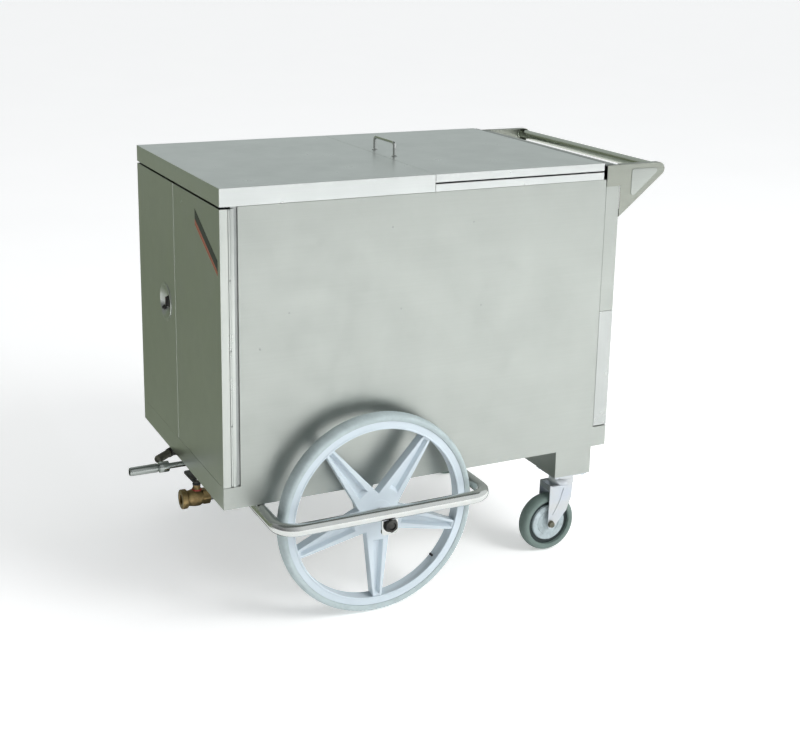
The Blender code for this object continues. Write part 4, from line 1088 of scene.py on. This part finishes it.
def make_key_light():
    """The one lamp: a wide soft disk that reflections don't see."""
    data = bpy.data.lights.new("key", "AREA")
    data.shape = "DISK"
    data.size = KEY_SIZE
    data.energy = KEY_POWER
    lamp = bpy.data.objects.new("key", data)
    bpy.context.scene.collection.objects.link(lamp)
    lamp.location = KEY_PLACE
    lamp.rotation_euler = (Vector(KEY_TARGET) - Vector(KEY_PLACE)).to_track_quat("-Z", "Y").to_euler()
    lamp.visible_glossy = False


def lying(x0, y0, x1, y1, z):
    """The corners of a card that lies flat."""
    return [(x, y, z) for x, y in rectangle(x0, y0, x1, y1)]


def upright(x0, y0, x1, y1, z0, z1):
    """The corners of a card that stands on a line."""
    return [(x0, y0, z0), (x1, y1, z0), (x1, y1, z1), (x0, y0, z1)]


def make_cards():
    """Cards for the steel to reflect, and four backdrop walls that only the camera sees."""
    green = (0.87, 1.0, 0.71)
    make_card("card_left_floor", lying(-3.5, 0.2, -0.5, 3.4, 0.004), green, 0.245)
    make_card("card_left_wall", upright(-5.5, 3.4, -0.7, 3.4, 0.0, 3.0), green, 0.245)
    # painted shade: a dim card under the cart, which reflections see in place of the shade under it
    make_card("card_under", lying(-0.42, -0.24, 0.4, 0.27, 0.003), (0.85, 1.0, 0.88), 0.12)
    make_card("card_back", upright(-0.7, 3.6, 8.0, 3.6, 0.3, 6.0), (0.93, 1.0, 0.98), 0.55)
    make_card("card_ceiling", lying(-3.0, -1.4, 3.0, 1.2, 3.4), (0.9, 1.0, 0.95), 0.16)
    far = 29
    north, east = (-far, far, far, far), (far, far, far, -far)
    south, west = (far, -far, -far, -far), (-far, -far, -far, far)
    for name, line in (("north", north), ("east", east), ("south", south), ("west", west)):
        wall = make_card(f"card_{name}", upright(*line, -1, 30), (1, 1, 1), 1.0)
        wall.visible_camera = True
        wall.visible_glossy = False


def make_world():
    """A plain sky that is dim at the left and brighter at the right."""
    world = bpy.data.worlds.new("studio")
    bpy.context.scene.world = world
    world.use_nodes = True
    tree = world.node_tree
    coords = add_node(tree, "TexCoord")
    parts = add_node(tree, "SeparateXYZ")
    falloff = add_node(tree, "MapRange", From_Min=-1.0, From_Max=0.5, To_Min=0.18, To_Max=0.85)
    tree.links.new(coords.outputs["Generated"], parts.inputs["Vector"])
    tree.links.new(parts.outputs["X"], falloff.inputs["Value"])
    backdrop = tree.nodes["Background"]
    backdrop.inputs["Color"].default_value = (0.97, 0.99, 1.0, 1.0)
    tree.links.new(falloff.outputs["Result"], backdrop.inputs["Strength"])


def make_camera():
    """The camera at the photograph's viewing angle."""
    scene = bpy.context.scene
    scene.view_settings.view_transform = "Standard"
    data = bpy.data.cameras.new("photo_camera")
    camera = bpy.data.objects.new("photo_camera", data)
    scene.collection.objects.link(camera)
    pitch, yaw, roll = (radians(angle) for angle in CAMERA_ANGLES)
    level = Vector((sin(yaw), cos(yaw), 0))
    right = Vector((cos(yaw), -sin(yaw), 0))
    up = Vector((0, 0, 1))
    ahead = level * cos(pitch) - up * sin(pitch)
    above = up * cos(pitch) + level * sin(pitch)
    side = right * cos(roll) + above * sin(roll)
    above = above * cos(roll) - right * sin(roll)
    turn = Matrix((side, above, -ahead)).transposed()
    camera.matrix_world = Matrix.Translation(CAMERA_PLACE) @ turn.to_4x4()
    data.lens = CAMERA_LENS
    data.shift_y = CAMERA_SHIFT
    data.clip_start = 0.05
    data.clip_end = 200
    scene.camera = camera


make_sheets()
rivet_rows()
make_stripe()
make_door_hinge()
make_lid_and_flap_hinges()
make_pull_handles()
make_push_handle()
make_control_cup()
make_control_knob()
make_igniter()
make_gas()
make_drain_valve()
make_wheels()
make_axle()
make_rails()
for caster_side in SIDES:
    make_caster_plate(caster_side)
    make_caster_fork(caster_side)
    make_caster_wheel(caster_side)
make_floor()
make_cards()
make_world()
make_key_light()
make_camera()
